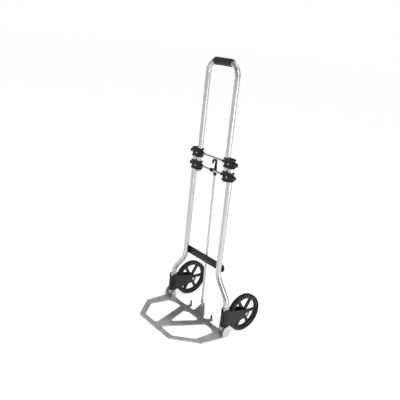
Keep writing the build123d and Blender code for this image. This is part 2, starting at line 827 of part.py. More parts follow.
def axle_bolt(side):
    """The axle bolt across both cheeks, its hexagon head on the outer side."""
    x = side * swivel_x
    tail = cheek_outer + nut_height + bolt_tail
    with BuildPart() as bolt:
        shank_from = min(x + side * cheek_outer, x - side * tail)
        with BuildSketch(along_x(shank_from, axle_reach, wheel_radius)):
            Circle(axle_radius)
        extrude(amount=cheek_outer + tail)
        head_from = min(x + side * cheek_outer, x + side * (cheek_outer + nut_height))
        with BuildSketch(along_x(head_from, axle_reach, wheel_radius)):
            RegularPolygon(hexagon_radius, 6)
        extrude(amount=nut_height)
    return bolt.part


def axle_nut(side):
    """The nut on the axle bolt's inner end."""
    x = side * (swivel_x - cheek_outer)
    with BuildPart() as nut:
        with BuildSketch(along_x(min(x, x - side * nut_height), axle_reach, wheel_radius)):
            RegularPolygon(hexagon_radius, 6)
            Circle(axle_radius + seat_gap, mode=Mode.SUBTRACT)
        extrude(amount=nut_height)
    return nut.part


def wheel_rim(side):
    """Hub, spokes and rim of one wheel."""
    x = side * swivel_x
    with BuildPart() as rim:
        with BuildSketch(along_x(x - rim_width / 2, axle_reach, wheel_radius)):
            Circle(rim_outer)
            Circle(rim_inner, mode=Mode.SUBTRACT)
        extrude(amount=rim_width)
        with BuildSketch(along_x(x - spoke_thickness / 2, axle_reach, wheel_radius)):
            with PolarLocations((hub_radius + rim_inner) / 2, spoke_count, start_angle=90):
                Rectangle(rim_inner - hub_radius + rim_depth, spoke_width)
        extrude(amount=spoke_thickness)
        with BuildSketch(along_x(x - hub_width / 2, axle_reach, wheel_radius)):
            Circle(hub_radius)
        extrude(amount=hub_width)
        with BuildSketch(along_x(x - hub_width / 2, axle_reach, wheel_radius)):
            Circle(axle_radius + slide_gap + bush_wall + seat_gap)
        extrude(amount=hub_width, mode=Mode.SUBTRACT)
    return rim.part


def wheel_bush(side):
    """The plain bearing bush pressed into a hub."""
    x = side * swivel_x
    length = hub_width + side_play
    with BuildPart() as bush:
        with BuildSketch(along_x(x - length / 2, axle_reach, wheel_radius)):
            Circle(axle_radius + slide_gap + bush_wall)
            Circle(axle_radius + slide_gap, mode=Mode.SUBTRACT)
        extrude(amount=length)
    return bush.part


def tyre(side):
    """The solid tyre on one rim."""
    x = side * swivel_x
    with BuildPart() as ring:
        with BuildSketch(along_x(x - tyre_width / 2, axle_reach, wheel_radius)):
            Circle(wheel_radius)
            Circle(rim_outer + seat_gap, mode=Mode.SUBTRACT)
        extrude(amount=tyre_width)
        outer_edges = ring.edges().filter_by(GeomType.CIRCLE).group_by(SortBy.RADIUS)[-1]
        fillet(outer_edges, tyre_shoulder)
    return ring.part


for side in (-1, 1):
    word = side_name(side)
    save(plate_drive_pegs(side), f"{word}_plate_pegs")
    save(wheel_fork(side), f"{word}_wheel_fork")
    save(fork_drive_pegs(side), f"{word}_fork_pegs")
    save(axle_bolt(side), f"{word}_axle_bolt")
    save(axle_nut(side), f"{word}_axle_nut")
    save(wheel_rim(side), f"{word}_wheel_rim")
    save(wheel_bush(side), f"{word}_wheel_bush")
    save(tyre(side), f"{word}_tyre")
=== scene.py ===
"""Looks of a folding sack truck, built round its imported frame.

Every length is in metres and every place is in the frame's own axes: +X is the user's right
seen from the toe plate, -Y is forward over the toe plate, +Z is up. Places come from the
frame's boxes; the sizes of mouldings, ribs, chamfers and textures are fields of the classes.
"""

import logging
import math
from dataclasses import dataclass, field
from enum import Enum
from functools import cache
from typing import Callable, Iterable, Sequence

import bmesh
import bpy
from mathutils import Matrix, Vector


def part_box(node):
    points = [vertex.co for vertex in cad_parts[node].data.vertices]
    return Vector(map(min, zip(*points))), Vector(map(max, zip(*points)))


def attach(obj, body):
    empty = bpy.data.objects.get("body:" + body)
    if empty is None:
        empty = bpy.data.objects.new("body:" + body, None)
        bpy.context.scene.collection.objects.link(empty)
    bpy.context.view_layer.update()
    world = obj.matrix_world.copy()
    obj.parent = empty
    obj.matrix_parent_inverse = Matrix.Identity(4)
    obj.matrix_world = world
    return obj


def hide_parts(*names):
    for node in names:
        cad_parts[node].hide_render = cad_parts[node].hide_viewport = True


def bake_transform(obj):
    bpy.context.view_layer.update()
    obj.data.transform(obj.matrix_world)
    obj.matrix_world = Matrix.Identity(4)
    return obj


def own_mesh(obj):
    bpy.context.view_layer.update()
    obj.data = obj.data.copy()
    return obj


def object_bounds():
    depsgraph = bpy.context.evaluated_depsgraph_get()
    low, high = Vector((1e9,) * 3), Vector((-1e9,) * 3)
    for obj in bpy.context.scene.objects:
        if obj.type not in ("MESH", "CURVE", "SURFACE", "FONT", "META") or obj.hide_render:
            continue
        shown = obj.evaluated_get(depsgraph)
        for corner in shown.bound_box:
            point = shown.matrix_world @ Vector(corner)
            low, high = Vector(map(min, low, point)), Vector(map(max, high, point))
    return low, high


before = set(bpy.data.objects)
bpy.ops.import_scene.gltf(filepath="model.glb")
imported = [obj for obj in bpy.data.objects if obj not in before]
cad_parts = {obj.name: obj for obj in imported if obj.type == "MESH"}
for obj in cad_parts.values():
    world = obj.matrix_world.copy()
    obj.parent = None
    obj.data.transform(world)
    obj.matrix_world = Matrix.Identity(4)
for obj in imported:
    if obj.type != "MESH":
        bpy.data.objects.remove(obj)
CAD_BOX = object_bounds()

LOG = logging.getLogger("sack_truck")
MM = 0.001
X_AXIS = Vector((1, 0, 0))
Y_AXIS = Vector((0, 1, 0))
Z_AXIS = Vector((0, 0, 1))
SIDES = {"left": -1, "right": 1}
MERGE = 1e-6
CLEARANCE = 0.02 * MM
ROD_RADIUS = 4.0 * MM
HINGE_Z = 23.0 * MM
WHITE = (1.0, 1.0, 1.0, 1.0)

Point = tuple[float, float]
Outline = list[Point]
Colour = tuple[float, float, float]
Socket = bpy.types.NodeSocket


# ---------------------------------------------------------------- frame readings
def middle(node: str) -> Vector:
    """The middle of a node's box."""
    low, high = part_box(node)
    return (low + high) / 2


def extent(node: str) -> Vector:
    """The size of a node's box."""
    low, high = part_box(node)
    return high - low


def add_object(name: str, data: bpy.types.ID) -> bpy.types.Object:
    """A new object, linked to the scene."""
    made = bpy.data.objects.new(name, data)
    bpy.context.scene.collection.objects.link(made)
    return made


# ---------------------------------------------------------------- outlines
def arc(centre: Point, radius: float, start: float, end: float, steps: int) -> Outline:
    """Points along an arc.

    Args:
        centre: Middle of the arc.
        radius: Its radius.
        start: First angle in degrees.
        end: Last angle in degrees.
        steps: Number of equal parts.

    Returns:
        steps + 1 points from start to end.
    """
    turns = [math.radians(start + (end - start) * i / steps) for i in range(steps + 1)]
    return [(centre[0] + radius * math.cos(a), centre[1] + radius * math.sin(a)) for a in turns]


def rounded(points: Sequence[Point], radii: float | Sequence[float], steps: int = 6) -> Outline:
    """A closed outline with its corners turned into arcs.

    Args:
        points: The corners in order.
        radii: One radius for all corners, or one for each; 0 keeps a corner sharp.
        steps: Parts in each arc.

    Returns:
        The outline's points.
    """
    count = len(points)
    sizes = [radii] * count if isinstance(radii, (int, float)) else list(radii)
    outline: Outline = []
    for i, size in enumerate(sizes):
        corner = Vector(points[i])
        before = Vector(points[i - 1]) - corner
        after = Vector(points[(i + 1) % count]) - corner
        bend = before.angle(after, math.pi)
        if size <= 0 or abs(math.pi - bend) < 0.02:
            outline.append(points[i])
            continue
        reach = min(size / math.tan(bend / 2), 0.48 * before.length, 0.48 * after.length)
        size = reach * math.tan(bend / 2)
        first = corner + before.normalized() * reach
        last = corner + after.normalized() * reach
        centre = corner + (before.normalized() + after.normalized()).normalized() * size / math.sin(bend / 2)
        start = math.atan2(first.y - centre.y, first.x - centre.x)
        sweep = math.atan2(last.y - centre.y, last.x - centre.x) - start
        sweep = (sweep + math.pi) % (2 * math.pi) - math.pi
        outline += arc(tuple(centre), size, math.degrees(start), math.degrees(start + sweep), steps)
    return outline


def turned_left(points: Outline) -> Outline:
    """The outline in the order that keeps its inside on the left."""
    doubled = sum(a[0] * b[1] - b[0] * a[1] for a, b in zip(points, points[1:] + points[:1]))
    return points if doubled > 0 else points[::-1]


def shifted(points: Outline, distance: float) -> Outline:
    """A closed outline moved to its own left by a distance, its corners mitred."""
    moved: Outline = []
    for i, here in enumerate(points):
        before = (Vector(here) - Vector(points[i - 1])).normalized()
        after = (Vector(points[(i + 1) % len(points)]) - Vector(here)).normalized()
        left = (before + after).orthogonal().normalized()
        moved.append(tuple(Vector(here) + left * distance / max(0.3, left.dot(after.orthogonal()))))
    return moved


def mirrored(points: Outline) -> Outline:
    """A closed outline from its right half, which runs from the front to the rear."""
    return points + [(-x, y) for x, y in reversed(points)]


def box_outline(wide: float, high: float, radius: float, steps: int = 10) -> Outline:
    """A rectangle about the origin with rounded corners."""
    w, h = wide / 2, high / 2
    return rounded([(-w, -h), (w, -h), (w, h), (-w, h)], radius, steps)


def polygon(sides: int, radius: float, turn: float = 0.0) -> Outline:
    """A regular polygon about the origin, its first corner turned by so many degrees."""
    return arc((0, 0), radius, turn, turn + 360 * (sides - 1) / sides, sides - 1)


# ---------------------------------------------------------------- placements
def along_x(centre: Vector, side: int = 1) -> Matrix:
    """A placement whose own Z runs outwards along X on that side and whose own Y is Y."""
    return Matrix.Translation(centre) @ Matrix.Rotation(side * math.pi / 2, 4, "Y")


def side_view(x: float, y: float = 0.0, z: float = 0.0) -> Matrix:
    """A placement whose own X is Y and own Y is Z, so that its own Z is X."""
    return Matrix(((0, 0, 1, x), (1, 0, 0, y), (0, 1, 0, z), (0, 0, 0, 1)))


def front_view(y: float, z: float = 0.0) -> Matrix:
    """A placement whose own X is X and own Y is Z, so that its own Z is -Y."""
    return Matrix(((1, 0, 0, 0), (0, 0, -1, y), (0, 1, 0, z), (0, 0, 0, 1)))


# ---------------------------------------------------------------- solids
@dataclass(frozen=True)
class Station:
    """One place on a loft: its middle, its direction and its two half sizes."""

    centre: Vector
    along: Vector
    wide: float
    deep: float

    def matrix(self, across: Vector) -> Matrix:
        """The placement of a unit circle at this station, its own X along `across`."""
        forward = self.along.normalized()
        side = (across - forward * across.dot(forward)).normalized()
        depth = forward.cross(side)
        turn = Matrix((side * self.wide, depth * self.deep, forward)).transposed().to_4x4()
        return Matrix.Translation(self.centre) @ turn


class Cut(Enum):
    """How one solid changes another."""

    JOIN = "UNION"
    REMOVE = "DIFFERENCE"


class Solid:
    """A closed mesh being shaped by mesh operators, before it becomes a piece."""

    def __init__(self) -> None:
        """Starts empty."""
        self.bm = bmesh.new()

    def revolve(self, profile: Outline, place: Matrix, steps: int = 64) -> "Solid":
        """Adds a body of revolution about the placement's own Z.

        Args:
            profile: Radius and height of each point. It is closed, unless it starts and ends on the axis.
            place: Where the body stands.
            steps: Faces round the axis.

        Returns:
            This solid.
        """
        bm = bmesh.new()
        verts = [bm.verts.new((r, 0, h)) for r, h in profile]
        ends = verts[1:] + (verts[:1] if profile[0][0] > 0 else [])
        edges = [bm.edges.new(pair) for pair in zip(verts, ends)]
        bmesh.ops.spin(bm, geom=verts + edges, cent=(0, 0, 0), axis=(0, 0, 1), dvec=(0, 0, 0),
                       angle=2 * math.pi, steps=steps, use_merge=True)
        return self._take(bm, place)

    def prism(self, outline: Outline, thick: float, place: Matrix, holes: Iterable[Outline] = (),
              soft: float = 0.0, dish: Point | None = None, both: bool = False) -> "Solid":
        """Adds a flat outline drawn up into a plate.

        Args:
            outline: The plate's edge.
            thick: How far it is drawn along its own Z.
            place: Where it stands.
            holes: Openings through it.
            soft: Width of the rounding on its edges.
            dish: Width of the border and depth of the recess inside it on the top face.
            both: Whether the bottom face is dished too.

        Returns:
            This solid.
        """
        levels = self._levels(thick, soft, dish, both)
        bm = bmesh.new()
        foot: list[bmesh.types.BMEdge] = []
        head: list[bmesh.types.BMEdge] = []
        for loop in [turned_left(outline)] + [turned_left(hole)[::-1] for hole in holes]:
            first, last = self._wall(bm, loop, levels)
            foot += first
            head += last
        for rim in (foot, head):
            if holes:
                bmesh.ops.triangle_fill(bm, use_beauty=True, use_dissolve=False, edges=rim, normal=Z_AXIS)
            else:
                bmesh.ops.edgeloop_fill(bm, edges=rim)
        return self._take(bm, place)

    def _levels(self, thick: float, soft: float, dish: Point | None, both: bool) -> list[Point]:
        """A plate's levels from foot to head: the height and the inset of its edge at each."""
        levels = [(0.0, soft), (0.3 * soft, 0.3 * soft), (soft, 0.0)] if soft else [(0.0, 0.0)]
        top = [(thick - z, inset) for z, inset in reversed(levels)]
        if dish:
            border, depth = dish
            recess = [(0.0, border), (depth, border + 0.4 * depth)]
            top += [(thick - z, inset) for z, inset in recess]
            levels = (recess[::-1] if both else []) + levels
        return levels + top

    def _wall(self, bm: bmesh.types.BMesh, loop: Outline,
              levels: list[Point]) -> tuple[list[bmesh.types.BMEdge], list[bmesh.types.BMEdge]]:
        """Draws one outline up through its levels and gives its lowest and highest edges."""
        start, inset = levels[0]
        spots = shifted(loop, inset)
        verts = [bm.verts.new((x, y, start)) for x, y in spots]
        first = rim = [bm.edges.new(pair) for pair in zip(verts, verts[1:] + verts[:1])]
        for height, inset in levels[1:]:
            drawn = bmesh.ops.extrude_edge_only(bm, edges=rim)["geom"]
            rim = [g for g in drawn if isinstance(g, bmesh.types.BMEdge)]
            order = {tuple(Vector(spot).to_2d()): i for i, spot in enumerate(spots)}
            spots = shifted(loop, inset)
            for vert in (g for g in drawn if isinstance(g, bmesh.types.BMVert)):
                vert.co = (*spots[order[tuple(vert.co.to_2d())]], height)
        return first, rim

    def loft(self, stations: Sequence[Station], across: Vector, segments: int = 32,
             ring: bool = False, shape: Callable[[float], float] | None = None) -> "Solid":
        """Adds a tube drawn from station to station.

        Args:
            stations: The places it passes.
            across: The direction that each station's width follows.
            segments: Points round it.
            ring: Whether the last station joins the first instead of both being capped.
            shape: Share of the radius at an angle round the tube.

        Returns:
            This solid.
        """
        bm = bmesh.new()
        bmesh.ops.create_circle(bm, cap_ends=False, radius=1.0, segments=segments)
        if shape:
            for v in bm.verts:
                v.co *= shape(math.atan2(v.co.y, v.co.x))
        last = stations[0].matrix(across)
        bmesh.ops.transform(bm, matrix=last, verts=bm.verts[:])
        first_loop = loop = bm.edges[:]
        for station in stations[1:]:
            drawn = bmesh.ops.extrude_edge_only(bm, edges=loop)["geom"]
            loop = [g for g in drawn if isinstance(g, bmesh.types.BMEdge)]
            verts = [g for g in drawn if isinstance(g, bmesh.types.BMVert)]
            here = station.matrix(across)
            bmesh.ops.transform(bm, matrix=here @ last.inverted(), verts=verts)
            last = here
        if ring:
            bmesh.ops.bridge_loops(bm, edges=first_loop + loop)
        else:
            bmesh.ops.edgeloop_fill(bm, edges=first_loop)
            bmesh.ops.edgeloop_fill(bm, edges=loop)
        return self._take(bm, Matrix.Identity(4))

    def change(self, other: "Solid", cut: Cut) -> "Solid":
        """Joins another solid to this one, or cuts it out of this one."""
        parts = []
        for solid in (self, other):
            mesh = bpy.data.meshes.new("shaping")
            solid.bm.to_mesh(mesh)
            parts.append(add_object("shaping", mesh))
        boolean = parts[0].modifiers.new("cut", "BOOLEAN")
        boolean.operation, boolean.solver, boolean.object = cut.value, "EXACT", parts[1]
        boolean.use_hole_tolerant = True
        shaped = parts[0].evaluated_get(bpy.context.evaluated_depsgraph_get())
        self.bm.clear()
        self.bm.from_mesh(shaped.to_mesh())
        shaped.to_mesh_clear()
        for part in parts:
            mesh = part.data
            bpy.data.objects.remove(part)
            bpy.data.meshes.remove(mesh)
        return self

    def join(self, other: "Solid") -> "Solid":
        """Joins another solid to this one."""
        return self.change(other, Cut.JOIN)

    def remove(self, other: "Solid") -> "Solid":
        """Cuts another solid out of this one."""
        return self.change(other, Cut.REMOVE)

    def bore(self, radius: float, start: float, end: float, place: Matrix, steps: int = 32) -> "Solid":
        """Drills a round hole between two heights on the placement's own Z."""
        profile = [(0, start), (radius, start), (radius, end), (0, end)]
        return self.remove(Solid().revolve(profile, place, steps))

    def press(self, move: Callable[[Vector], Vector]) -> "Solid":
        """Moves every vertex to where `move` puts it."""
        for v in self.bm.verts:
            v.co = move(v.co)
        return self

    def _take(self, bm: bmesh.types.BMesh, place: Matrix) -> "Solid":
        """Merges, places and adds a finished shape, its faces outward."""
        bmesh.ops.remove_doubles(bm, verts=bm.verts[:], dist=MERGE)
        bmesh.ops.transform(bm, matrix=place, verts=bm.verts[:])
        bmesh.ops.recalc_face_normals(bm, faces=bm.faces[:])
        mesh = bpy.data.meshes.new("shape")
        bm.to_mesh(mesh)
        bm.free()
        self.bm.from_mesh(mesh)
        bpy.data.meshes.remove(mesh)
        return self


# ---------------------------------------------------------------- finishes
def grey(value: float, blue: float = 0.0) -> Colour:
    """A grey, a little bluer by `blue`."""
    return (value, value, value + blue)


def darker(colour: Colour, share: float) -> Colour:
    """A share of a colour."""
    return tuple(share * c for c in colour)


class Graph:
    """A tree of shader nodes being wired up."""

    def __init__(self, tree: bpy.types.NodeTree) -> None:
        """Starts on a tree.

        Args:
            tree: The tree that takes the new nodes.
        """
        self.tree = tree

    def fill(self, node: bpy.types.Node, inputs: dict[str | int, object]) -> None:
        """Links each input to the socket given for it, or sets it to the value given for it."""
        for slot, value in inputs.items():
            if isinstance(value, Socket):
                self.tree.links.new(value, node.inputs[slot])
            else:
                node.inputs[slot].default_value = value

    def add(self, kind: str, inputs: dict[str | int, object] | None = None,
            **settings: str) -> bpy.types.Node:
        """A new node of a kind, its settings made and its inputs filled."""
        node = self.tree.nodes.new(f"ShaderNode{kind}")
        for name, value in settings.items():
            setattr(node, name, value)
        self.fill(node, inputs or {})
        return node

    def axes(self, place: Socket) -> tuple[Socket, ...]:
        """The X, Y and Z of a place."""
        return tuple(self.add("SeparateXYZ", {"Vector": place}).outputs)

    def noise(self, place: Socket, scale: float, detail: float) -> Socket:
        """A noise texture's factor at a scale."""
        return self.add("TexNoise", {"Scale": scale, "Detail": detail, "Vector": place}).outputs["Fac"]

    def ramp(self, value: Socket, *stops: tuple[float, Colour]) -> Socket:
        """A colour that changes with a value from stop to stop."""
        node = self.add("ValToRGB", {"Fac": value})
        for spot, _ in stops[1:-1]:
            node.color_ramp.elements.new(spot)
        for element, (spot, colour) in zip(node.color_ramp.elements, stops):
            element.position, element.color = spot, (*colour, 1.0)
        return node.outputs["Color"]

    def mix(self, share: Socket, first: Socket, second: Socket | tuple[float, ...]) -> Socket:
        """Two colours mixed by a share."""
        node = self.add("Mix", data_type="RGBA")
        self.fill(node, {"Factor": share, "A": first, "B": second})
        return node.outputs["Result"]

    def reckon(self, kind: str, first: Socket | float, second: Socket | float = 0.0) -> Socket:
        """One sum on two values."""
        return self.add("Math", {0: first, 1: second}, operation=kind).outputs[0]

    def fade(self, value: Socket, start: float, end: float, low: float = 0.0, high: float = 1.0) -> Socket:
        """A value's way from start to end, as a number from low to high."""
        return self.add("MapRange", {"From Min": start, "From Max": end, "To Min": low, "To Max": high,
                                     "Value": value}).outputs["Result"]


class Grain(Enum):
    """The direction that a finish's fine texture runs in."""

    EVEN = (1.0, 1.0, 1.0)
    UPRIGHT = (1.0, 1.0, 0.03)
    SIDEWAYS = (0.03, 1.0, 1.0)


@dataclass(frozen=True)
class Finish:
    """A surface: two close colours mottled together, fine grain in its bump and roughness."""

    name: str
    dark: Colour
    light: Colour
    metallic: float = 0.0
    roughness: Point = (0.4, 0.5)
    mottle: float = 60.0
    grain: float = 900.0
    relief: float = 0.1
    run: Grain = Grain.EVEN
    coat: float = 0.0
    sheen: float = 0.0
    glow: float = 0.0
    shine: float = 0.5
    relief_height: float = 0.3 * MM

    @cache
    def build(self) -> bpy.types.Material:
        """Makes the material, once for each finish."""
        made = bpy.data.materials.new(f"{self.name}_finish")
        made.use_nodes = True
        made.diffuse_color = (*self.light, 1.0)
        graph = Graph(made.node_tree)
        place = graph.add("TexCoord").outputs["Object"]
        along = graph.add("Mapping", {"Scale": self.run.value, "Vector": place}).outputs["Vector"]
        broad = graph.noise(place, self.mottle, 4.0)
        fine = graph.noise(along, self.grain, 3.0)
        colour = graph.ramp(broad, (0.3, self.dark), (0.7, self.light))
        bump = graph.add("Bump", {"Strength": self.relief, "Distance": self.relief_height,
                                  "Height": self._relief(graph, place, fine)})
        graph.fill(made.node_tree.nodes["Principled BSDF"], {
            "Metallic": self.metallic, "Coat Weight": self.coat, "Sheen Weight": self.sheen,
            "Specular IOR Level": self.shine, "Emission Color": WHITE, "Emission Strength": self.glow,
            "Base Color": self._paint(graph, place, colour),
            "Roughness": graph.fade(fine, 0.0, 1.0, *self.roughness),
            "Normal": bump.outputs["Normal"]})
        return made

    def _paint(self, graph: Graph, place: Socket, colour: Socket) -> Socket:
        """The surface's colour."""
        return colour

    def _relief(self, graph: Graph, place: Socket, fine: Socket) -> Socket:
        """The height that the bump follows."""
        return fine


@dataclass(frozen=True)
class CoatedCasting(Finish):
    """A grey coated casting with painted light on its front and outer rim and its ears, and lighter wear
    along its raised edges.
    """

    # One lighter colour serves both the painted light on the front and outer rim and the wear on the raised
    # edges.
    lit_and_worn: Colour = (0.56, 0.56, 0.57)
    raised: Point = (3.9 * MM, 4.7 * MM)
    rim_side: Point = (100 * MM, 150 * MM)
    rim_front: Point = (-80 * MM, -160 * MM)
    flat: Point = (9 * MM, 6 * MM)
    ear_side: Point = (150 * MM, 160 * MM)
    # Share of the lighter colour painted on as light towards the rim; edge_wear is the share worn onto the
    # raised edges.
    rim_painted_light: float = 0.75
    edge_wear: float = 0.3
    patches: float = 25.0
    least_light_and_wear: float = 0.45

    def _paint(self, graph: Graph, place: Socket, colour: Socket) -> Socket:
        """Mixes in a lighter colour: much of it as painted light towards the front and outer rim, less of it
        as wear along every raised edge.
        """
        across, along, up = graph.axes(place)
        side = graph.reckon("ABSOLUTE", across)
        # Painted light: this share grows towards the outer sides and the front.
        outer = graph.reckon("MAXIMUM", graph.fade(side, *self.rim_side), graph.fade(along, *self.rim_front))
        lit_and_rubbed = graph.reckon("ADD", graph.reckon("MULTIPLY", outer, self.rim_painted_light),
                              graph.reckon("MULTIPLY", graph.fade(up, *self.raised), self.edge_wear))
        shown = graph.reckon("MAXIMUM", graph.fade(up, *self.flat), graph.fade(side, *self.ear_side))
        patchy = graph.noise(place, self.patches, 5.0)
        share = graph.reckon("MULTIPLY", graph.reckon("MULTIPLY", lit_and_rubbed, shown),
                             graph.reckon("ADD", patchy, self.least_light_and_wear))
        light = graph.ramp(patchy, (0.3, darker(self.lit_and_worn, 0.85)), (0.7, self.lit_and_worn))
        return graph.mix(share, colour, light)


@dataclass(frozen=True)
class BraidedSheath(Finish):
    """A round braid: two sets of strands that cross as they wind round a cord."""

    strands: float = 8.0
    winding: float = 900.0
    centre: tuple[float, float, float] = (0.0, 0.0, 0.0)
    lean: float = 0.0

    def _weave(self, graph: Graph, place: Socket) -> Socket:
        """The height of the crossing strands."""
        turned = graph.add("Mapping", {"Location": self.centre, "Rotation": (self.lean, 0.0, 0.0),
                                       "Vector": place}, vector_type="TEXTURE")
        x, y, z = graph.axes(turned.outputs["Vector"])
        around = graph.reckon("MULTIPLY", graph.reckon("ARCTAN2", y, x), self.strands)
        length = graph.reckon("MULTIPLY", z, self.winding)
        one = graph.reckon("SINE", graph.reckon("ADD", around, length))
        other = graph.reckon("SINE", graph.reckon("SUBTRACT", around, length))
        return graph.reckon("ADD", graph.reckon("MULTIPLY", graph.reckon("MAXIMUM", one, other), 0.5), 0.5)

    def _paint(self, graph: Graph, place: Socket, colour: Socket) -> Socket:
        """Paints shade into the gaps between strands."""
        # Painted shade: the gaps between the raised strands take a darker colour.
        gaps = graph.ramp(self._weave(graph, place), (0.2, darker(self.dark, 0.55)), (0.7, self.light))
        return graph.mix(graph.noise(place, self.mottle, 3.0), gaps, colour)

    def _relief(self, graph: Graph, place: Socket, fine: Socket) -> Socket:
        """Raises the strands."""
        return self._weave(graph, place)


SATIN_TUBE = Finish("satin_tube", grey(0.47, 0.005), grey(0.52, 0.005), 1.0, (0.2, 0.27), 14.0, 2600.0, 0.05,
                    Grain.UPRIGHT)
CAST_PLATE = CoatedCasting("cast_plate", grey(0.19, 0.005), grey(0.25, 0.005), 0.2, (0.42, 0.6), 45.0,
                           1500.0, 0.35)
BRIGHT_CASTING = Finish("bright_casting", grey(0.38), grey(0.5), 0.9, (0.28, 0.42), 70.0, 1200.0, 0.2)
ZINC_STEEL = Finish("zinc_steel", grey(0.42), grey(0.52), 1.0, (0.22, 0.34), 120.0, 1800.0, 0.08)
MOULDED_BLACK = Finish("moulded_black", (0.008, 0.008, 0.0095), (0.014, 0.014, 0.017), 0.0, (0.3, 0.42), 80.0,
                       1900.0, 0.18, shine=0.26)
COATED_STRIP = Finish("coated_strip", grey(0.011), grey(0.02, 0.001), 0.1, (0.3, 0.42), 90.0, 1500.0, 0.15,
                      shine=0.26)
GRIP_FOAM = Finish("grip_foam", grey(0.008), grey(0.014), 0.0, (0.5, 0.66), 120.0, 2400.0, 0.4,
                   Grain.SIDEWAYS, 0.0, 0.1, shine=0.26)
TYRE_RUBBER = Finish("tyre_rubber", grey(0.012), grey(0.02), 0.0, (0.5, 0.68), 90.0, 1700.0, 0.3, shine=0.26)
PALE_FLOOR = Finish("pale_floor", grey(0.86), grey(0.88), 0.0, (0.7, 0.8), 3.0, 120.0, 0.02, glow=0.57)


# ---------------------------------------------------------------- pieces
def make_piece(solid: Solid, name: str, finish: Finish, body: str | None,
               nodes: Sequence[str] = (), sharp: float = 32.0) -> bpy.types.Object:
    """Turns a solid into a piece that rides on a body.

    Args:
        solid: The shape.
        name: The piece's name.
        finish: Its surface.
        body: The body that it moves with, or None to leave it riding on no body.
        nodes: The nodes that it stands for.
        sharp: Edges that turn by more degrees than this are shaded sharp.

    Returns:
        The new object.
    """
    mesh = bpy.data.meshes.new(name)
    bmesh.ops.recalc_face_normals(solid.bm, faces=solid.bm.faces[:])
    solid.bm.to_mesh(mesh)
    solid.bm.free()
    mesh.shade_smooth()
    mesh.set_sharp_from_angle(angle=math.radians(sharp))
    mesh.materials.append(finish.build())
    piece = add_object(name, mesh)
    if body:
        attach(piece, body)
    if nodes:
        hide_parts(*nodes)
    LOG.info("%s: %d faces, rides on %s", name, len(mesh.polygons), body or "two bodies")
    return piece


def dress(node: str, finish: Finish) -> None:
    """Gives a node of the frame its finish."""
    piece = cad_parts[node]
    piece.data.materials.clear()
    piece.data.materials.append(finish.build())
    LOG.info("%s: dressed in %s", node, finish.name)


@dataclass
class TubeFrame:
    """The lower tubes, the handle's tube and the rods, plugs and pegs between them."""

    rivet_dome: float = 1.8 * MM
    collar_round: float = 1.0 * MM

    def build(self) -> None:
        """Dresses the tubes and rods and makes the rivets and the collars."""
        for node in ("left_lower_tube", "right_lower_tube", "handle_tube"):
            dress(node, SATIN_TUBE)
        for node in ("upper_cross_rod", "lower_cross_rod", "upper_clamp_screws", "lower_clamp_screws"):
            dress(node, ZINC_STEEL)
        for word in SIDES:
            for node in ("plate_pegs", "fork_pegs", "wheel_bush"):
                dress(f"{word}_{node}", MOULDED_BLACK if node == "wheel_bush" else ZINC_STEEL)
            self._collar(word)
        dress("handle_end_plugs", MOULDED_BLACK)
        self._rivets()

    def _collar(self, word: str) -> None:
        """Makes the stop ring on one lower tube, its edges rounded."""
        node = f"{word}_stop_collar"
        low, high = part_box(node)
        outer = (high.x - low.x) / 2
        bore = extent(f"{word}_lower_tube").y / 2 + CLEARANCE
        profile = rounded([(bore, low.z), (outer, low.z), (outer, high.z), (bore, high.z)],
                          [0, self.collar_round, self.collar_round, 0], 4)
        place = Matrix.Translation((middle(node).x, 0, 0))
        make_piece(Solid().revolve(profile, place), f"{word}_collar_ring", BRIGHT_CASTING, "frame",
                   [node])

    def _rivets(self) -> None:
        """Makes the domed rivets of the crossbar."""
        low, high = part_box("crossbar_rivets")
        bar_low, bar_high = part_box("crossbar")
        seat = high.y - self.rivet_dome
        spread = (bar_high.z - bar_low.z) / 4
        head = (high.z - low.z) / 2 - spread
        shank = head * 0.53
        solid = Solid()
        for x in (middle("left_lower_tube").x, middle("right_lower_tube").x):
            x = math.copysign(high.x - head, x)
            for z in (middle("crossbar").z - spread, middle("crossbar").z + spread):
                profile = [(0, low.y), (shank, low.y), (shank, seat), (head, seat)]
                profile += [(head * math.cos(math.radians(a)),
                             seat + self.rivet_dome * math.sin(math.radians(a))) for a in (20, 40, 60, 75)]
                profile += [(0, high.y)]
                place = Matrix.Translation((x, 0, z)) @ Matrix.Rotation(-math.pi / 2, 4, "X")
                solid.revolve(profile, place, 24)
        make_piece(solid, "rivet_heads", ZINC_STEEL, "frame", ["crossbar_rivets"])


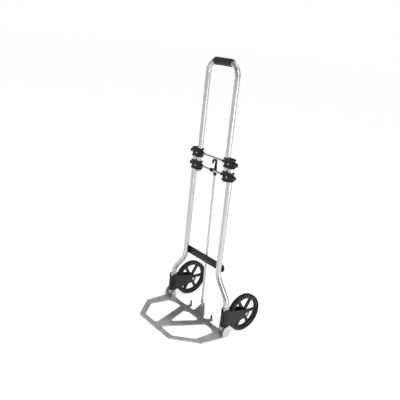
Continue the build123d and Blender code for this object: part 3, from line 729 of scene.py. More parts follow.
@dataclass
class HandGrip:
    """The thick sleeve over the handle's top run and the start of its two bends."""

    ribs: int = 26
    rib_depth: float = 0.02
    swell: float = 0.03
    swell_length: float = 9 * MM
    end_round: float = 4.5 * MM
    bend: float = 45.0 * MM
    wrap: float = 15.0

    def build(self) -> None:
        """Lofts the sleeve out along its path and back along its bore, as one closed ring."""
        radius, tube = extent("handle_grip").y / 2, extent("handle_tube").y / 2
        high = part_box("handle_tube")[1]
        path = self._path(Vector((high.x - tube - self.bend, 0, high.z - tube - self.bend)), self.bend)
        outer = [self._outer(point, along, run, total, radius, tube) for point, along, run, total in path]
        inner = [Station(point, along, tube, tube) for point, along, _, _ in reversed(path)]
        solid = Solid().loft(outer + inner, Y_AXIS, 4 * self.ribs, ring=True, shape=self._ribbed)
        make_piece(solid, "grip_sleeve", GRIP_FOAM, "handle", ["handle_grip"], 60.0)

    def _path(self, centre: Vector, bend: float) -> list[tuple[Vector, Vector, float, float]]:
        """Places, directions and run lengths along the sleeve, from left to right."""
        places: list[tuple[Vector, Vector]] = []
        for i in range(13):
            a = math.radians(90 + self.wrap * (1 - i / 12))
            places.append((Vector((-centre.x + bend * math.cos(a), 0, centre.z + bend * math.sin(a))),
                           Vector((math.sin(a), 0, -math.cos(a)))))
        for i in range(1, 12):
            places.append((Vector((-centre.x + 2 * centre.x * i / 12, 0, centre.z + bend)), X_AXIS.copy()))
        places += [(Vector((-p.x, 0, p.z)), Vector((d.x, 0, -d.z))) for p, d in reversed(places[:13])]
        total = sum((b[0] - a[0]).length for a, b in zip(places, places[1:]))
        run = 0.0
        path = [(places[0][0], places[0][1], 0.0, total)]
        for before, here in zip(places, places[1:]):
            run += (here[0] - before[0]).length
            path.append((here[0], here[1], run, total))
        return path

    def _outer(self, point: Vector, along: Vector, run: float, total: float, radius: float,
               tube: float) -> Station:
        """The sleeve's outside at one place: rounded at both ends and swollen near the left one."""
        near = min(run, total - run)
        radius /= 1 + self.swell
        size = radius
        if near < self.end_round:
            share = 1 - near / self.end_round
            size = radius - (radius - tube) * 0.55 * (1 - math.sqrt(max(0.0, 1 - share * share)))
        size *= 1 + self.swell * math.exp(-((run - 2 * self.end_round) / self.swell_length) ** 2)
        return Station(point, along, size, size)

    def _ribbed(self, angle: float) -> float:
        """The share of the radius at an angle: shallow lengthwise ribs."""
        return 1 - self.rib_depth * (0.5 - 0.5 * math.cos(self.ribs * angle))


@dataclass
class TubeClamp:
    """A moulded clamp round one lower tube and one handle leg."""

    node: str
    body: str
    side: int
    flange: float = 5.0 * MM
    waist: float = 2.6 * MM
    rib: float = 1.2 * MM
    pad_radius: float = 5.4 * MM
    boss: float = 8.5 * MM
    boss_run: float = 12.0 * MM
    plunger: float = 3.2 * MM
    plunger_in: float = 10.0 * MM
    drill_turn: float = math.radians(4)
    overrun: float = 5.0 * MM
    fit: float = 0.04 * MM

    def build(self) -> None:
        """Joins the waisted body, bosses and screw pads, then bores it."""
        low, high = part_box(self.node)
        z = (low.z + high.z) / 2
        inner = min(abs(low.x), abs(high.x)) + self.boss_run
        outer = max(abs(low.x), abs(high.x)) - self.boss_run / 2
        half = (high.y - low.y) / 2
        solid = self._waisted(inner, outer, half, low.z, high.z)
        solid.join(self._inner_boss(inner, z)).join(self._outer_boss(outer, z))
        for x in self._tubes().values():
            solid.join(self._pad(x, half, z))
        for name, x in self._tubes().items():
            solid.bore(extent(name).y / 2 + self.fit, low.z - self.overrun, high.z + self.overrun,
                       Matrix.Translation((self.side * x, 0, 0)), 64)
        place = along_x(Vector((0, 0, z)), self.side) @ Matrix.Rotation(self.drill_turn, 4, "Z")
        solid.bore(ROD_RADIUS + CLEARANCE, 0.0, inner - 2 * MM, place)
        solid.bore(self.plunger, outer - self.plunger_in, outer + 2 * self.plunger_in, place)
        make_piece(solid, self.node + "_moulding", MOULDED_BLACK, self.body, [self.node])

    def _tubes(self) -> dict[str, float]:
        """The distances of the handle's leg and of the lower tube's upright from the middle."""
        word = "left" if self.side < 0 else "right"
        leg = extent("handle_tube").x / 2 - extent("handle_tube").y / 2
        low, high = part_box(f"{word}_lower_tube")
        tube = min(abs(low.x), abs(high.x)) + extent(f"{word}_lower_tube").y / 2
        return {"handle_tube": leg, f"{word}_lower_tube": tube}

    def _waisted(self, inner: float, outer: float, half: float, foot: float, top: float) -> Solid:
        """The body: a flange at each end, a waist between and a raised rib round its middle."""
        wide = (outer - inner) / 2
        mid = (foot + top) / 2
        levels = [(foot, -1.4 * MM), (foot + 0.4 * MM, -0.4 * MM), (foot + 1.2 * MM, 0.0),
                  (foot + self.flange - 0.6 * MM, 0.0), (foot + self.flange, -0.5 * MM),
                  (foot + self.flange + 1.4 * MM, -self.waist), (mid - 3.4 * MM, -self.waist),
                  (mid - 2.6 * MM, -self.waist + self.rib)]
        levels += [(2 * mid - z, inset) for z, inset in reversed(levels)]
        centre = self.side * (inner + outer) / 2
        solid = Solid()
        outline = box_outline(2 * wide, 2 * half, half - 1.5 * MM, 12)
        bm = bmesh.new()
        verts = [bm.verts.new((x, y, 0)) for x, y in outline]
        face = bm.faces.new(verts)
        size = [1.0, 1.0]
        height = 0.0
        for step, (z, inset) in enumerate(levels):
            goal = [(wide + inset) / wide, (half + inset) / half]
            if step:
                drawn = bmesh.ops.extrude_discrete_faces(bm, faces=[face])["faces"]
                face = drawn[0]
            bmesh.ops.scale(bm, vec=(goal[0] / size[0], goal[1] / size[1], 1.0), verts=face.verts[:])
            bmesh.ops.translate(bm, vec=(0, 0, z - height), verts=face.verts[:])
            size, height = goal, z
        bmesh.ops.holes_fill(bm, edges=[e for e in bm.edges if e.is_boundary])
        solid._take(bm, Matrix.Translation((centre, 0, 0)))
        return solid

    def _inner_boss(self, inner: float, z: float) -> Solid:
        """The cone that holds the cross rod, with a lip at its mouth."""
        tip = inner - self.boss_run
        profile = [(0, tip), (self.boss - 3.4 * MM, tip), (self.boss - 2.6 * MM, tip + 0.8 * MM),
                   (self.boss - 2.6 * MM, tip + 2.6 * MM), (self.boss - 3.2 * MM, tip + 3.2 * MM),
                   (self.boss - 0.6 * MM, inner - 1.4 * MM), (self.boss + 0.4 * MM, inner - 0.6 * MM),
                   (self.boss + 0.4 * MM, inner + 5 * MM), (0, inner + 5 * MM)]
        return Solid().revolve(profile, along_x(Vector((0, 0, z)), self.side), 40)

    def _outer_boss(self, outer: float, z: float) -> Solid:
        """The round boss that guides the plunger or holds the cap."""
        end = outer + self.boss_run / 2
        profile = [(0, outer - 6 * MM), (self.boss, outer - 6 * MM), (self.boss, end - 1.0 * MM),
                   (self.boss - 0.3 * MM, end - 0.3 * MM), (self.boss - 1.0 * MM, end), (0, end)]
        return Solid().revolve(profile, along_x(Vector((0, 0, z)), self.side), 40)

    def _pad(self, x: float, half: float, z: float) -> Solid:
        """The round pad in front of a tube that a screw head sits on."""
        profile = [(0, half - 6 * MM), (self.pad_radius + 0.6 * MM, half - 6 * MM),
                   (self.pad_radius, half - 0.6 * MM), (self.pad_radius - 0.6 * MM, half), (0, half)]
        place = Matrix.Translation((self.side * x, 0, z)) @ Matrix.Rotation(math.pi / 2, 4, "X")
        return Solid().revolve(profile, place, 32)


@dataclass
class ClampKnob:
    """A turned knob at a clamp's outer boss: a lock plunger's, or a fixed cap."""

    node: str
    body: str
    side: int
    stem: float
    flutes: int = 18
    flute_depth: float = 0.6 * MM
    dome: float = 1.2 * MM
    round_edge: float = 1.1 * MM
    length: float = 7.0 * MM

    def build(self) -> None:
        """Revolves the knob and its stem in one and presses flutes into its rim."""
        low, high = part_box(self.node)
        near, far = sorted((abs(low.x), abs(high.x)))
        radius = (high.z - low.z) / 2
        seat = far - self.length
        profile = [(0, near), (self.stem, near), (self.stem, seat), (radius - 2.2 * MM, seat),
                   (radius - self.round_edge, seat + 0.2 * MM), (radius, seat + self.round_edge),
                   (radius, far - self.dome - self.round_edge),
                   (radius - 0.35 * self.round_edge, far - self.dome - 0.3 * self.round_edge),
                   (radius - self.round_edge, far - self.dome),
                   (radius - 2.4 * MM, far - 0.45 * self.dome), (radius - 4.4 * MM, far), (0, far)]
        solid = Solid().revolve(profile, Matrix.Identity(4), 4 * self.flutes)
        solid.press(lambda co: self._fluted(co, radius, seat))
        place = along_x(Vector((0, 0, (low.z + high.z) / 2)), self.side)
        bmesh.ops.transform(solid.bm, matrix=place, verts=solid.bm.verts[:])
        make_piece(solid, self.node + "_knob", MOULDED_BLACK, self.body, [self.node])

    def _fluted(self, co: Vector, radius: float, seat: float) -> Vector:
        """Pulls the rim in where a flute runs."""
        reach = math.hypot(co.x, co.y)
        if co.z < seat + 0.5 * MM or reach < radius - 0.5 * MM:
            return co
        turn = math.atan2(co.y, co.x)
        share = 1 - self.flute_depth / radius * (0.5 - 0.5 * math.cos(self.flutes * turn))
        return Vector((co.x * share, co.y * share, co.z))


@dataclass
class RearCrossbar:
    """The flanged strip across the backs of the lower tubes."""

    sheet: float = 3.0 * MM
    lip: float = 3.0 * MM
    band_height: float = 11.0 * MM
    band_rise: float = 1.6 * MM
    soft: float = 0.7 * MM

    def build(self) -> None:
        """Draws the strip, its rear lip and the pressed band between the tubes."""
        low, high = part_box("crossbar")
        wide, tall = high.x - low.x, high.z - low.z
        z = (low.z + high.z) / 2
        outline = box_outline(wide, tall, tall / 2 - 2 * MM, 10)
        solid = Solid().prism(outline, high.y - low.y, front_view(high.y, z), soft=self.soft)
        pocket = box_outline(wide - 2 * self.lip, tall - 2 * self.lip, tall / 2 - 4 * MM, 10)
        solid.remove(Solid().prism(pocket, self.lip + 1 * MM, front_view(high.y + 1 * MM, z)))
        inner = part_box("right_lower_tube")[0].x - 3 * MM
        band = box_outline(2 * inner, self.band_height, self.band_height / 2 - 1 * MM, 8)
        solid.join(Solid().prism(band, self.band_rise + self.sheet / 2,
                                 front_view(low.y + self.sheet / 2, z), soft=self.soft))
        make_piece(solid, "crossbar_strip", COATED_STRIP, "frame", ["crossbar"])


@dataclass
class WheelFork:
    """The sleeve that swivels on a lower tube, and its two cheeks."""

    word: str
    side: int
    sleeve: float = 17.0 * MM
    bore: float = 11.1 * MM
    flutes: int = 5
    flute_depth: float = 1.3 * MM
    flute_spread: float = 75.0
    dip: float = 11.0 * MM
    skirt: float = 4.0 * MM
    cheek: float = 3.5 * MM
    cheek_inner: float = 13.5 * MM
    cheek_end: float = 17.0 * MM
    border: float = 2.6 * MM
    recess: float = 0.8 * MM
    soft: float = 0.6 * MM
    axle_bore: float = 4.05 * MM
    axle_drill: float = 30.0 * MM
    segments: int = 96

    def build(self) -> None:
        """Joins the fluted sleeve to its cheeks and drills the axle's hole."""
        node = f"{self.word}_wheel_fork"
        low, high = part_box(node)
        x = middle(f"{self.word}_end_fitting").x
        axle = middle(f"{self.word}_axle_nut")
        foot, top = low.z + self.skirt, high.z
        solid = self._sleeve(x, foot, top)
        for start in (x - self.cheek_inner - self.cheek, x + self.cheek_inner):
            outer = abs(start) > abs(x)
            solid.join(self._cheek(start, foot, top, axle, outer == (self.side > 0)))
        solid.bore(self.axle_bore, -self.axle_drill, self.axle_drill, along_x(Vector((x, axle.y, axle.z))))
        self._bolt(x, axle)
        make_piece(solid, f"{self.word}_fork_moulding", MOULDED_BLACK, f"{self.word}_fork",
                   [node])

    def _sleeve(self, x: float, foot: float, top: float) -> Solid:
        """The sleeve: lofted up its outside and down its bore, then fluted and dipped."""
        outer, bore = self.sleeve, self.bore
        levels = [(foot, outer - 1 * MM), (foot + 0.4 * MM, outer - 0.3 * MM), (foot + 1.2 * MM, outer)]
        levels += [(foot + 5 * MM, outer), (foot + 6 * MM, outer - 0.7 * MM)]
        count = 14
        levels += [(foot + 6 * MM + (top - foot - 14 * MM) * i / count, outer - 0.7 * MM)
                   for i in range(1, count)]
        levels += [(top - 8 * MM, outer - 0.7 * MM), (top - 7 * MM, outer), (top - 1.2 * MM, outer),
                   (top - 0.4 * MM, outer - 0.3 * MM), (top, outer - 1 * MM), (top, bore + 0.6 * MM),
                   (top - 0.6 * MM, bore), (foot + 0.6 * MM, bore), (foot, bore + 0.6 * MM)]
        stations = [Station(Vector((x, 0, z)), Z_AXIS, r, r) for z, r in levels]
        solid = Solid().loft(stations, X_AXIS, self.segments, ring=True)
        return solid.press(lambda co: self._shaped(co, x, foot, top))

    def _shaped(self, co: Vector, x: float, foot: float, top: float) -> Vector:
        """Presses the flutes into the front, the dip into the top and draws the skirt down."""
        across, y = co.x - x, co.y
        reach = math.hypot(across, y)
        turn = math.degrees(math.atan2(across, -y))
        z = co.z
        share = 1.0
        if reach > self.bore + 3 * MM and abs(turn) < self.flute_spread:
            fade = min(1.0, max(0.0, (z - foot - 5 * MM) / (4 * MM)), max(0.0, (top - 9 * MM - z) / (4 * MM)))
            wave = 0.5 - 0.5 * math.cos(math.radians(360 * self.flutes * (turn + self.flute_spread)
                                                     / (2 * self.flute_spread)))
            share = 1 - max(0.0, fade) * self.flute_depth * wave / reach
        if y < 0 and z > top - 30 * MM:
            sag = self.dip * max(0.0, 1 - (across / (0.8 * self.sleeve)) ** 2)
            z -= sag * min(1.0, (z - (top - 30 * MM)) / (23 * MM))
        if y > 0 and z < foot + 0.8 * MM and reach > self.bore + 1 * MM and abs(across) < 0.6 * self.sleeve:
            z -= self.skirt * min(1.0, 2.2 * (1 - abs(across) / (0.6 * self.sleeve)))
        return Vector((x + across * share, y * share, z))

    def _cheek(self, start: float, foot: float, top: float, axle: Vector, dish_high: bool) -> Solid:
        """One cheek: a teardrop round the axle, dished on the side away from the wheel."""
        root, low, high = 5 * MM, foot + 2 * MM, top - 5 * MM
        tangents = []
        for z, sign in ((low, -1), (high, 1)):
            gap = Vector((root - axle.y, z - axle.z))
            lean = math.atan2(gap.y, gap.x)
            tangents.append(math.degrees(lean - sign * math.acos(self.cheek_end / gap.length)))
        lower, upper = tangents
        if lower > upper:
            lower -= 360
        outline = [(0.0, low), (root, low)] + arc((axle.y, axle.z), self.cheek_end, lower, upper, 40)
        outline += [(root, high), (0.0, high)]
        place = side_view(start) if dish_high else side_view(start + self.cheek) @ Matrix.Scale(-1, 4, Z_AXIS)
        solid = Solid().prism(outline, self.cheek, place, soft=self.soft, dish=(self.border, self.recess))
        face = start + self.cheek if dish_high else start
        inward = -1 if dish_high else 1
        ring = rounded([(self.axle_bore, 2 * MM), (11 * MM, 2 * MM), (11 * MM, 0), (self.axle_bore, 0)],
                       [0, 0, 0.6 * MM, 0], 3)
        turned = Matrix.Rotation(inward * math.pi / 2, 4, "Y")
        return solid.join(Solid().revolve(ring, Matrix.Translation((face, axle.y, axle.z)) @ turned, 48))

    def _bolt(self, x: float, axle: Vector) -> None:
        """The axle's bolt and nut, with chamfered hexagons and a washer face."""
        word, side = self.word, self.side
        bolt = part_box(f"{word}_axle_bolt")
        far, near = (bolt[1].x, bolt[0].x) if side > 0 else (bolt[0].x, bolt[1].x)
        head = x + side * (self.cheek_inner + self.cheek)
        radius = (bolt[1].z - bolt[0].z) / 2
        length = abs(head - near) + 1 * MM
        shank = [(0, 0), (ROD_RADIUS - 0.6 * MM, 0), (ROD_RADIUS, 0.6 * MM), (ROD_RADIUS, length),
                 (0, length)]
        solid = Solid().revolve(shank, along_x(Vector((near, axle.y, axle.z)), side), 32)
        solid.join(self._hexagon(Vector((head, axle.y, axle.z)), side, abs(far - head), radius))
        make_piece(solid, f"{word}_bolt", ZINC_STEEL, f"{word}_fork", [f"{word}_axle_bolt"])
        seat = Vector((x - side * (self.cheek_inner + self.cheek), axle.y, axle.z))
        nut = self._hexagon(seat, -side, extent(f"{word}_axle_nut").x, radius)
        nut.bore(ROD_RADIUS + CLEARANCE, -1 * MM, 9 * MM, along_x(seat, -side))
        make_piece(nut, f"{word}_nut", ZINC_STEEL, f"{word}_fork", [f"{word}_axle_nut"])

    def _hexagon(self, seat: Vector, side: int, height: float, radius: float) -> Solid:
        """A hexagon head with softened corners and a round crown."""
        place = along_x(seat, side)
        solid = Solid().prism(polygon(6, radius, 30), 0.8 * height, place, soft=0.35 * MM)
        crown = [(0, 0.4 * height), (0.82 * radius, 0.4 * height), (0.8 * radius, 0.86 * height),
                 (0.62 * radius, height), (0, height)]
        return solid.join(Solid().revolve(crown, place, 36))


@dataclass
class RoadWheel:
    """A moulded six-spoke wheel with a solid tyre."""

    word: str
    spokes: int = 6
    spoke_width: float = 11.0 * MM
    disc: float = 8.0 * MM
    hub: float = 14.0 * MM
    tyre_depth: float = 11.0 * MM
    rim_depth: float = 6.0 * MM
    rim_width: float = 18.0 * MM
    corner: float = 4.5 * MM
    border: float = 1.7 * MM
    recess: float = 1.2 * MM
    bush: float = 6.12 * MM
    first_window: float = 90.4
    segments: int = 96

    def build(self) -> None:
        """Makes the moulded wheel and its tyre."""
        centre = middle(f"{self.word}_tyre")
        radius = extent(f"{self.word}_tyre").z / 2
        width = extent(f"{self.word}_tyre").x
        rim = radius - self.tyre_depth
        place = along_x(centre)
        body = f"{self.word}_wheel"
        solid = self._disc(rim, centre)
        solid.join(Solid().revolve(self._rim_profile(rim), place, self.segments))
        solid.join(Solid().revolve(self._hub_profile(extent(f"{self.word}_wheel_rim").x / 2), place, 48))
        solid.bore(self.bush, -width, width, place, 48)
        make_piece(solid, f"{self.word}_wheel_moulding", MOULDED_BLACK, body,
                   [f"{self.word}_wheel_rim"])
        tread = Solid().revolve(self._tyre_profile(rim, radius, width / 2), place, self.segments)
        make_piece(tread, f"{self.word}_tread", TYRE_RUBBER, body, [f"{self.word}_tyre"], 40.0)

    def _disc(self, rim: float, centre: Vector) -> Solid:
        """The spoked disc: a plate with a window between each pair of spokes."""
        inner, outer = self.hub + 2.5 * MM, rim - self.rim_depth - 1.0 * MM
        pitch = 360 / self.spokes
        near = math.degrees(math.asin(self.spoke_width / 2 / inner))
        far = math.degrees(math.asin(self.spoke_width / 2 / outer))
        windows = []
        for i in range(self.spokes):
            turn = self.first_window + pitch * i
            edge = arc((0, 0), outer, turn + far, turn + pitch - far, 10)
            root = arc((0, 0), inner, turn + pitch - near, turn + near, 2)
            radii = [self.corner] + [0.0] * 9 + [self.corner] + [self.corner / 1.5, 0.0, self.corner / 1.5]
            windows.append(rounded(edge + root, radii, 5))
        circle = arc((0, 0), rim - 1 * MM, 1, 361 - 360 / self.segments, self.segments - 1)
        place = along_x(centre) @ Matrix.Translation((0, 0, -self.disc / 2))
        return Solid().prism(circle, self.disc, place, windows, 0.0, (self.border, self.recess), True)

    def _rim_profile(self, rim: float) -> Outline:
        """The rim's section: a well with a rolled lip at each side."""
        half = self.rim_width / 2
        inner = rim - self.rim_depth
        points = [(rim, -half), (rim, half), (rim - 2.6 * MM, half), (inner + 1 * MM, half - 3 * MM),
                  (inner, half - 4.5 * MM), (inner, -half + 4.5 * MM), (inner + 1 * MM, -half + 3 * MM),
                  (rim - 2.6 * MM, -half)]
        return rounded(points, [0, 0, 1 * MM, 0.8 * MM, 1 * MM, 1 * MM, 0.8 * MM, 1 * MM], 3)

    def _hub_profile(self, half: float) -> Outline:
        """The hub's section: a barrel with a stepped face at each end."""
        bore, hub = self.bush - 1 * MM, self.hub
        points = [(bore, -half), (hub - 3.5 * MM, -half), (hub - 3 * MM, -half + 1.2 * MM),
                  (hub, -half + 1.6 * MM), (hub + 1 * MM, 0), (hub, half - 1.6 * MM),
                  (hub - 3 * MM, half - 1.2 * MM), (hub - 3.5 * MM, half), (bore, half)]
        return rounded(points, 0.4 * MM, 2)

    def _tyre_profile(self, rim: float, radius: float, half: float) -> Outline:
        """The tyre's section: two tread grooves, shoulders and a raised ring on each sidewall."""
        flat, groove = 7.5 * MM, 1.0 * MM
        side = [(rim + CLEARANCE, half - 2 * MM), (rim + 0.7 * MM, half - 0.5 * MM), (rim + 1.5 * MM, half),
                (rim + 3.2 * MM, half), (rim + 3.9 * MM, half - 0.8 * MM), (rim + 6.2 * MM, half - 0.8 * MM),
                (rim + 7.2 * MM, half - 1.1 * MM), (radius - 1.6 * MM, half - 2.6 * MM),
                (radius - 0.5 * MM, flat + 0.9 * MM), (radius, flat - 0.6 * MM)]
        tread = [(radius, 4.6 * MM), (radius - groove, 4.0 * MM), (radius - groove, 3.0 * MM),
                 (radius, 2.4 * MM)]
        upper = side + tread
        return upper + [(r, -w) for r, w in reversed(upper)]


@dataclass
class LoadPlate:
    """The folding toe plate: an open casting with raised edges, hinge ears, tabs and a lug."""

    thick: float = 5.0 * MM
    front: float = 203.0 * MM
    front_half: float = 101.0 * MM
    corner_half: float = 187.0 * MM
    corner_y: float = 115.0 * MM
    rear: float = 10.0 * MM
    slope_x: float = 112.0 * MM
    tab_x: float = 68.0 * MM
    tab_rear: float = 28.0 * MM
    tab_top: float = 27.0 * MM
    lug_half: float = 30.0 * MM
    lug_root: float = 20.0 * MM
    lug_lean: float = 24.0
    lug_rise: float = 34.0 * MM
    lug_eye: float = 9.0 * MM
    lug_thick: float = 3.0 * MM
    eyelet_bore: float = 3.2 * MM
    eyelet_wall: float = 2.0 * MM
    ear: float = 4.0 * MM
    outer_ear: float = 19.0 * MM
    inner_ear: float = 10.0 * MM
    pin_drill: float = 300.0 * MM
    pin_head: float = 2.5 * MM
    border: float = 2.5 * MM
    recess: float = 1.5 * MM
    soft: float = 0.55 * MM

    def build(self) -> None:
        """Joins the plate, its ears, tabs and lug, and makes the pins and the eyelet."""
        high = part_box("toe_plate")[1]
        self.ear_out = high.x
        self.ear_in = self.ear_out - (extent("right_hinge_pin").x - self.pin_head)
        solid = self._plate()
        for side in SIDES.values():
            solid.join(self._ear(side * self.ear_out, -side, self._outer_ear_outline()))
            solid.join(self._ear(side * self.ear_in, side, self._inner_ear_outline()))
            solid.join(self._tab(side * self.tab_x))
            solid.bore(ROD_RADIUS + CLEARANCE, 0, self.pin_drill, along_x(Vector((0, 0, HINGE_Z)), side), 40)
        solid.join(self._lug())
        make_piece(solid, "plate_casting", CAST_PLATE, "toe_plate", ["toe_plate"], 28.0)
        self._eyelet()
        for word, side in SIDES.items():
            self._pin(word, side)

    def _plate(self) -> Solid:
        """The open plate with a raised border along every edge."""
        ear_out, ear_in = self.ear_out, self.ear_in
        half = [(self.front_half, -self.front), (self.corner_half, -self.corner_y),
                (ear_out, -self.outer_ear - 4 * MM), (ear_out, self.rear + 2 * MM),
                (ear_in, self.rear + 2 * MM), (self.slope_x, self.rear - 2 * MM),
                (self.tab_x + 8 * MM, self.rear), (self.tab_x + 4 * MM, self.tab_rear),
                (self.tab_x - 4 * MM, self.tab_rear), (self.tab_x - 16 * MM, self.rear),
                (self.lug_half + 4 * MM, self.rear), (self.lug_half, self.lug_root + self.lug_thick / 2)]
        radii = [r * MM for r in (14, 12, 9, 3.4, 4, 12, 6, 3.3, 3.3, 8, 4, 3.4)]
        outline = rounded(mirrored(half), radii + radii[::-1], 7)
        bar = 14 * MM
        side_window = [(16 * MM, -self.front + 22 * MM), (self.front_half - 10 * MM, -self.front + 22 * MM),
                       (self.corner_half - 34 * MM, -self.corner_y), (self.corner_half - 40 * MM, -2 * bar),
                       (self.slope_x, -bar), (82 * MM, -bar)]
        centre_window = [(0, -128 * MM), (44 * MM, -2 * bar), (30 * MM, -bar), (-30 * MM, -bar),
                         (-44 * MM, -2 * bar)]
        holes = [rounded([(s * x, y) for x, y in side_window], 9 * MM, 7) for s in (1, -1)]
        holes.append(rounded(centre_window, 7 * MM, 7))
        return Solid().prism(outline, self.thick, Matrix.Identity(4), holes, self.soft,
                             (self.border, self.recess))

    def _outer_ear_outline(self) -> Outline:
        """An outer ear seen from the side: a round lobe on a broad foot."""
        foot = 12 * MM
        start = -math.degrees(math.acos(foot / self.outer_ear))
        lobe = arc((0, HINGE_Z), self.outer_ear, start, 180, 40)
        return [(-self.outer_ear, 0.5 * MM), (foot, 0.5 * MM)] + lobe

    def _inner_ear_outline(self) -> Outline:
        """An inner ear seen from the side."""
        lobe = arc((0, HINGE_Z), self.inner_ear, 0, 180, 24)
        return [(-self.inner_ear, 0.5 * MM), (self.inner_ear, 0.5 * MM)] + lobe

    def _ear(self, face: float, inward: int, outline: Outline) -> Solid:
        """One ear drawn inwards from its outer face."""
        place = side_view(face)
        if inward < 0:
            place = place @ Matrix.Scale(-1, 4, Z_AXIS)
        return Solid().prism(outline, self.ear, place, soft=0.8 * MM)

    def _tab(self, x: float) -> Solid:
        """An upright tab behind the rear bar, narrower at its top."""
        points = [(x - 7.5 * MM, 0.5 * MM), (x + 7.5 * MM, 0.5 * MM), (x + 6 * MM, 9 * MM),
                  (x + 3.4 * MM, self.tab_top), (x - 3.4 * MM, self.tab_top), (x - 6 * MM, 9 * MM)]
        outline = rounded(points, [0, 0, 4 * MM, 2.5 * MM, 2.5 * MM, 4 * MM], 5)
        return Solid().prism(outline, 3 * MM, front_view(self.tab_rear), soft=0.5 * MM)

    def lug_place(self, offset: float) -> Matrix:
        """A placement on the lug, its own Y up the lug and its own Z out of its front face."""
        lean = math.radians(self.lug_lean)
        up = Vector((0, math.sin(lean), math.cos(lean)))
        out = Vector((0, -math.cos(lean), math.sin(lean)))
        turn = Matrix((X_AXIS, up, out)).transposed().to_4x4()
        return Matrix.Translation(Vector((0, self.lug_root, self.thick)) + out * offset) @ turn

    def _lug(self) -> Solid:
        """The leaning lug: a triangle that runs up into its round eye."""
        gap = Vector((self.lug_half, -self.lug_rise))
        lean = math.degrees(math.atan2(gap.y, gap.x) + math.acos(self.lug_eye / gap.length))
        eye = arc((0, self.lug_rise), self.lug_eye, lean, 180 - lean, 24)
        outline = [(-self.lug_half, -2 * MM), (self.lug_half, -2 * MM), (self.lug_half, 0)] + eye
        outline.append((-self.lug_half, 0))
        hole = arc((0, self.lug_rise), self.eyelet_bore + self.eyelet_wall + CLEARANCE, 0, 345, 23)
        return Solid().prism(outline, self.lug_thick, self.lug_place(-self.lug_thick / 2), [hole], self.soft)

    def _eyelet(self) -> None:
        """The rolled eyelet through the lug."""
        bore, flange = self.eyelet_bore, self.eyelet_bore + 3.6 * MM
        barrel = bore + self.eyelet_wall
        back, front = -self.lug_thick / 2 - 1.0 * MM, self.lug_thick / 2 + 2.6 * MM
        points = [(bore, back), (flange, back), (flange, back + 0.9 * MM), (barrel, back + 0.9 * MM),
                  (barrel, front - 0.9 * MM), (flange, front - 0.9 * MM), (flange, front),
                  (bore, front)]
        profile = rounded(points, [0.8 * MM, 0.45 * MM, 0.45 * MM, 0, 0, 0.45 * MM, 0.45 * MM, 0.8 * MM], 4)
        place = self.lug_place(0.0) @ Matrix.Translation((0, self.lug_rise, 0))
        make_piece(Solid().revolve(profile, place, 40), "rolled_eyelet", ZINC_STEEL, "toe_plate",
                   ["lug_eyelet"])

    def _pin(self, word: str, side: int) -> None:
        """A hinge pin with a low domed head and a chamfered tail."""
        node = f"{word}_hinge_pin"
        low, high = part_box(node)
        near, far = sorted((abs(low.x), abs(high.x)))
        head, shank = (high.z - low.z) / 2, ROD_RADIUS
        seat = far - self.pin_head
        profile = [(0, near), (shank - 0.6 * MM, near), (shank, near + 0.6 * MM), (shank, seat), (head, seat),
                   (head, seat + 0.8 * MM), (head - 0.5 * MM, seat + 1.4 * MM),
                   (head - 2 * MM, seat + 2.1 * MM), (head - 4.5 * MM, far), (0, far)]
        place = along_x(Vector((0, 0, HINGE_Z)), side)
        make_piece(Solid().revolve(profile, place, 40), f"{word}_pin", ZINC_STEEL, "toe_plate",
                   [node])


@dataclass
class TubeFoot:
    """The bright casting in the foot of a lower tube, bored for the hinge pin."""

    word: str
    barrel: float = 12.0 * MM
    half: float = 9.0 * MM
    pin: float = 4.1 * MM
    shoulder: float = 11.5 * MM
    spigot: float = 9.18 * MM
    spigot_length: float = 25.0 * MM
    soft: float = 0.8 * MM

    def build(self) -> None:
        """Joins the barrel, the shoulder and the spigot."""
        node = f"{self.word}_end_fitting"
        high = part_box(node)[1]
        x = middle(node).x
        reach = extent(node).y / 2 + extent(node).x
        foot = high.z - self.spigot_length
        block = foot - 2.5 * MM
        spigot, shoulder = self.spigot, self.shoulder
        outline = arc((0, HINGE_Z), self.barrel, 180, 360, 28)
        outline += [(self.barrel, block), (-self.barrel, block)]
        solid = Solid().prism(outline, 2 * self.half, side_view(x - self.half), soft=self.soft)
        profile = [(0, block - 2 * MM), (shoulder, block - 2 * MM), (shoulder, foot - 0.5 * MM),
                   (shoulder - 0.5 * MM, foot), (spigot, foot), (spigot, high.z - 1 * MM),
                   (spigot - 1 * MM, high.z), (0, high.z)]
        solid.join(Solid().revolve(profile, Matrix.Translation((x, 0, 0)), 56))
        solid.bore(self.pin, -reach, reach, along_x(Vector((x, 0, HINGE_Z))), 40)
        make_piece(solid, f"{self.word}_foot_casting", BRIGHT_CASTING, "frame", [node])


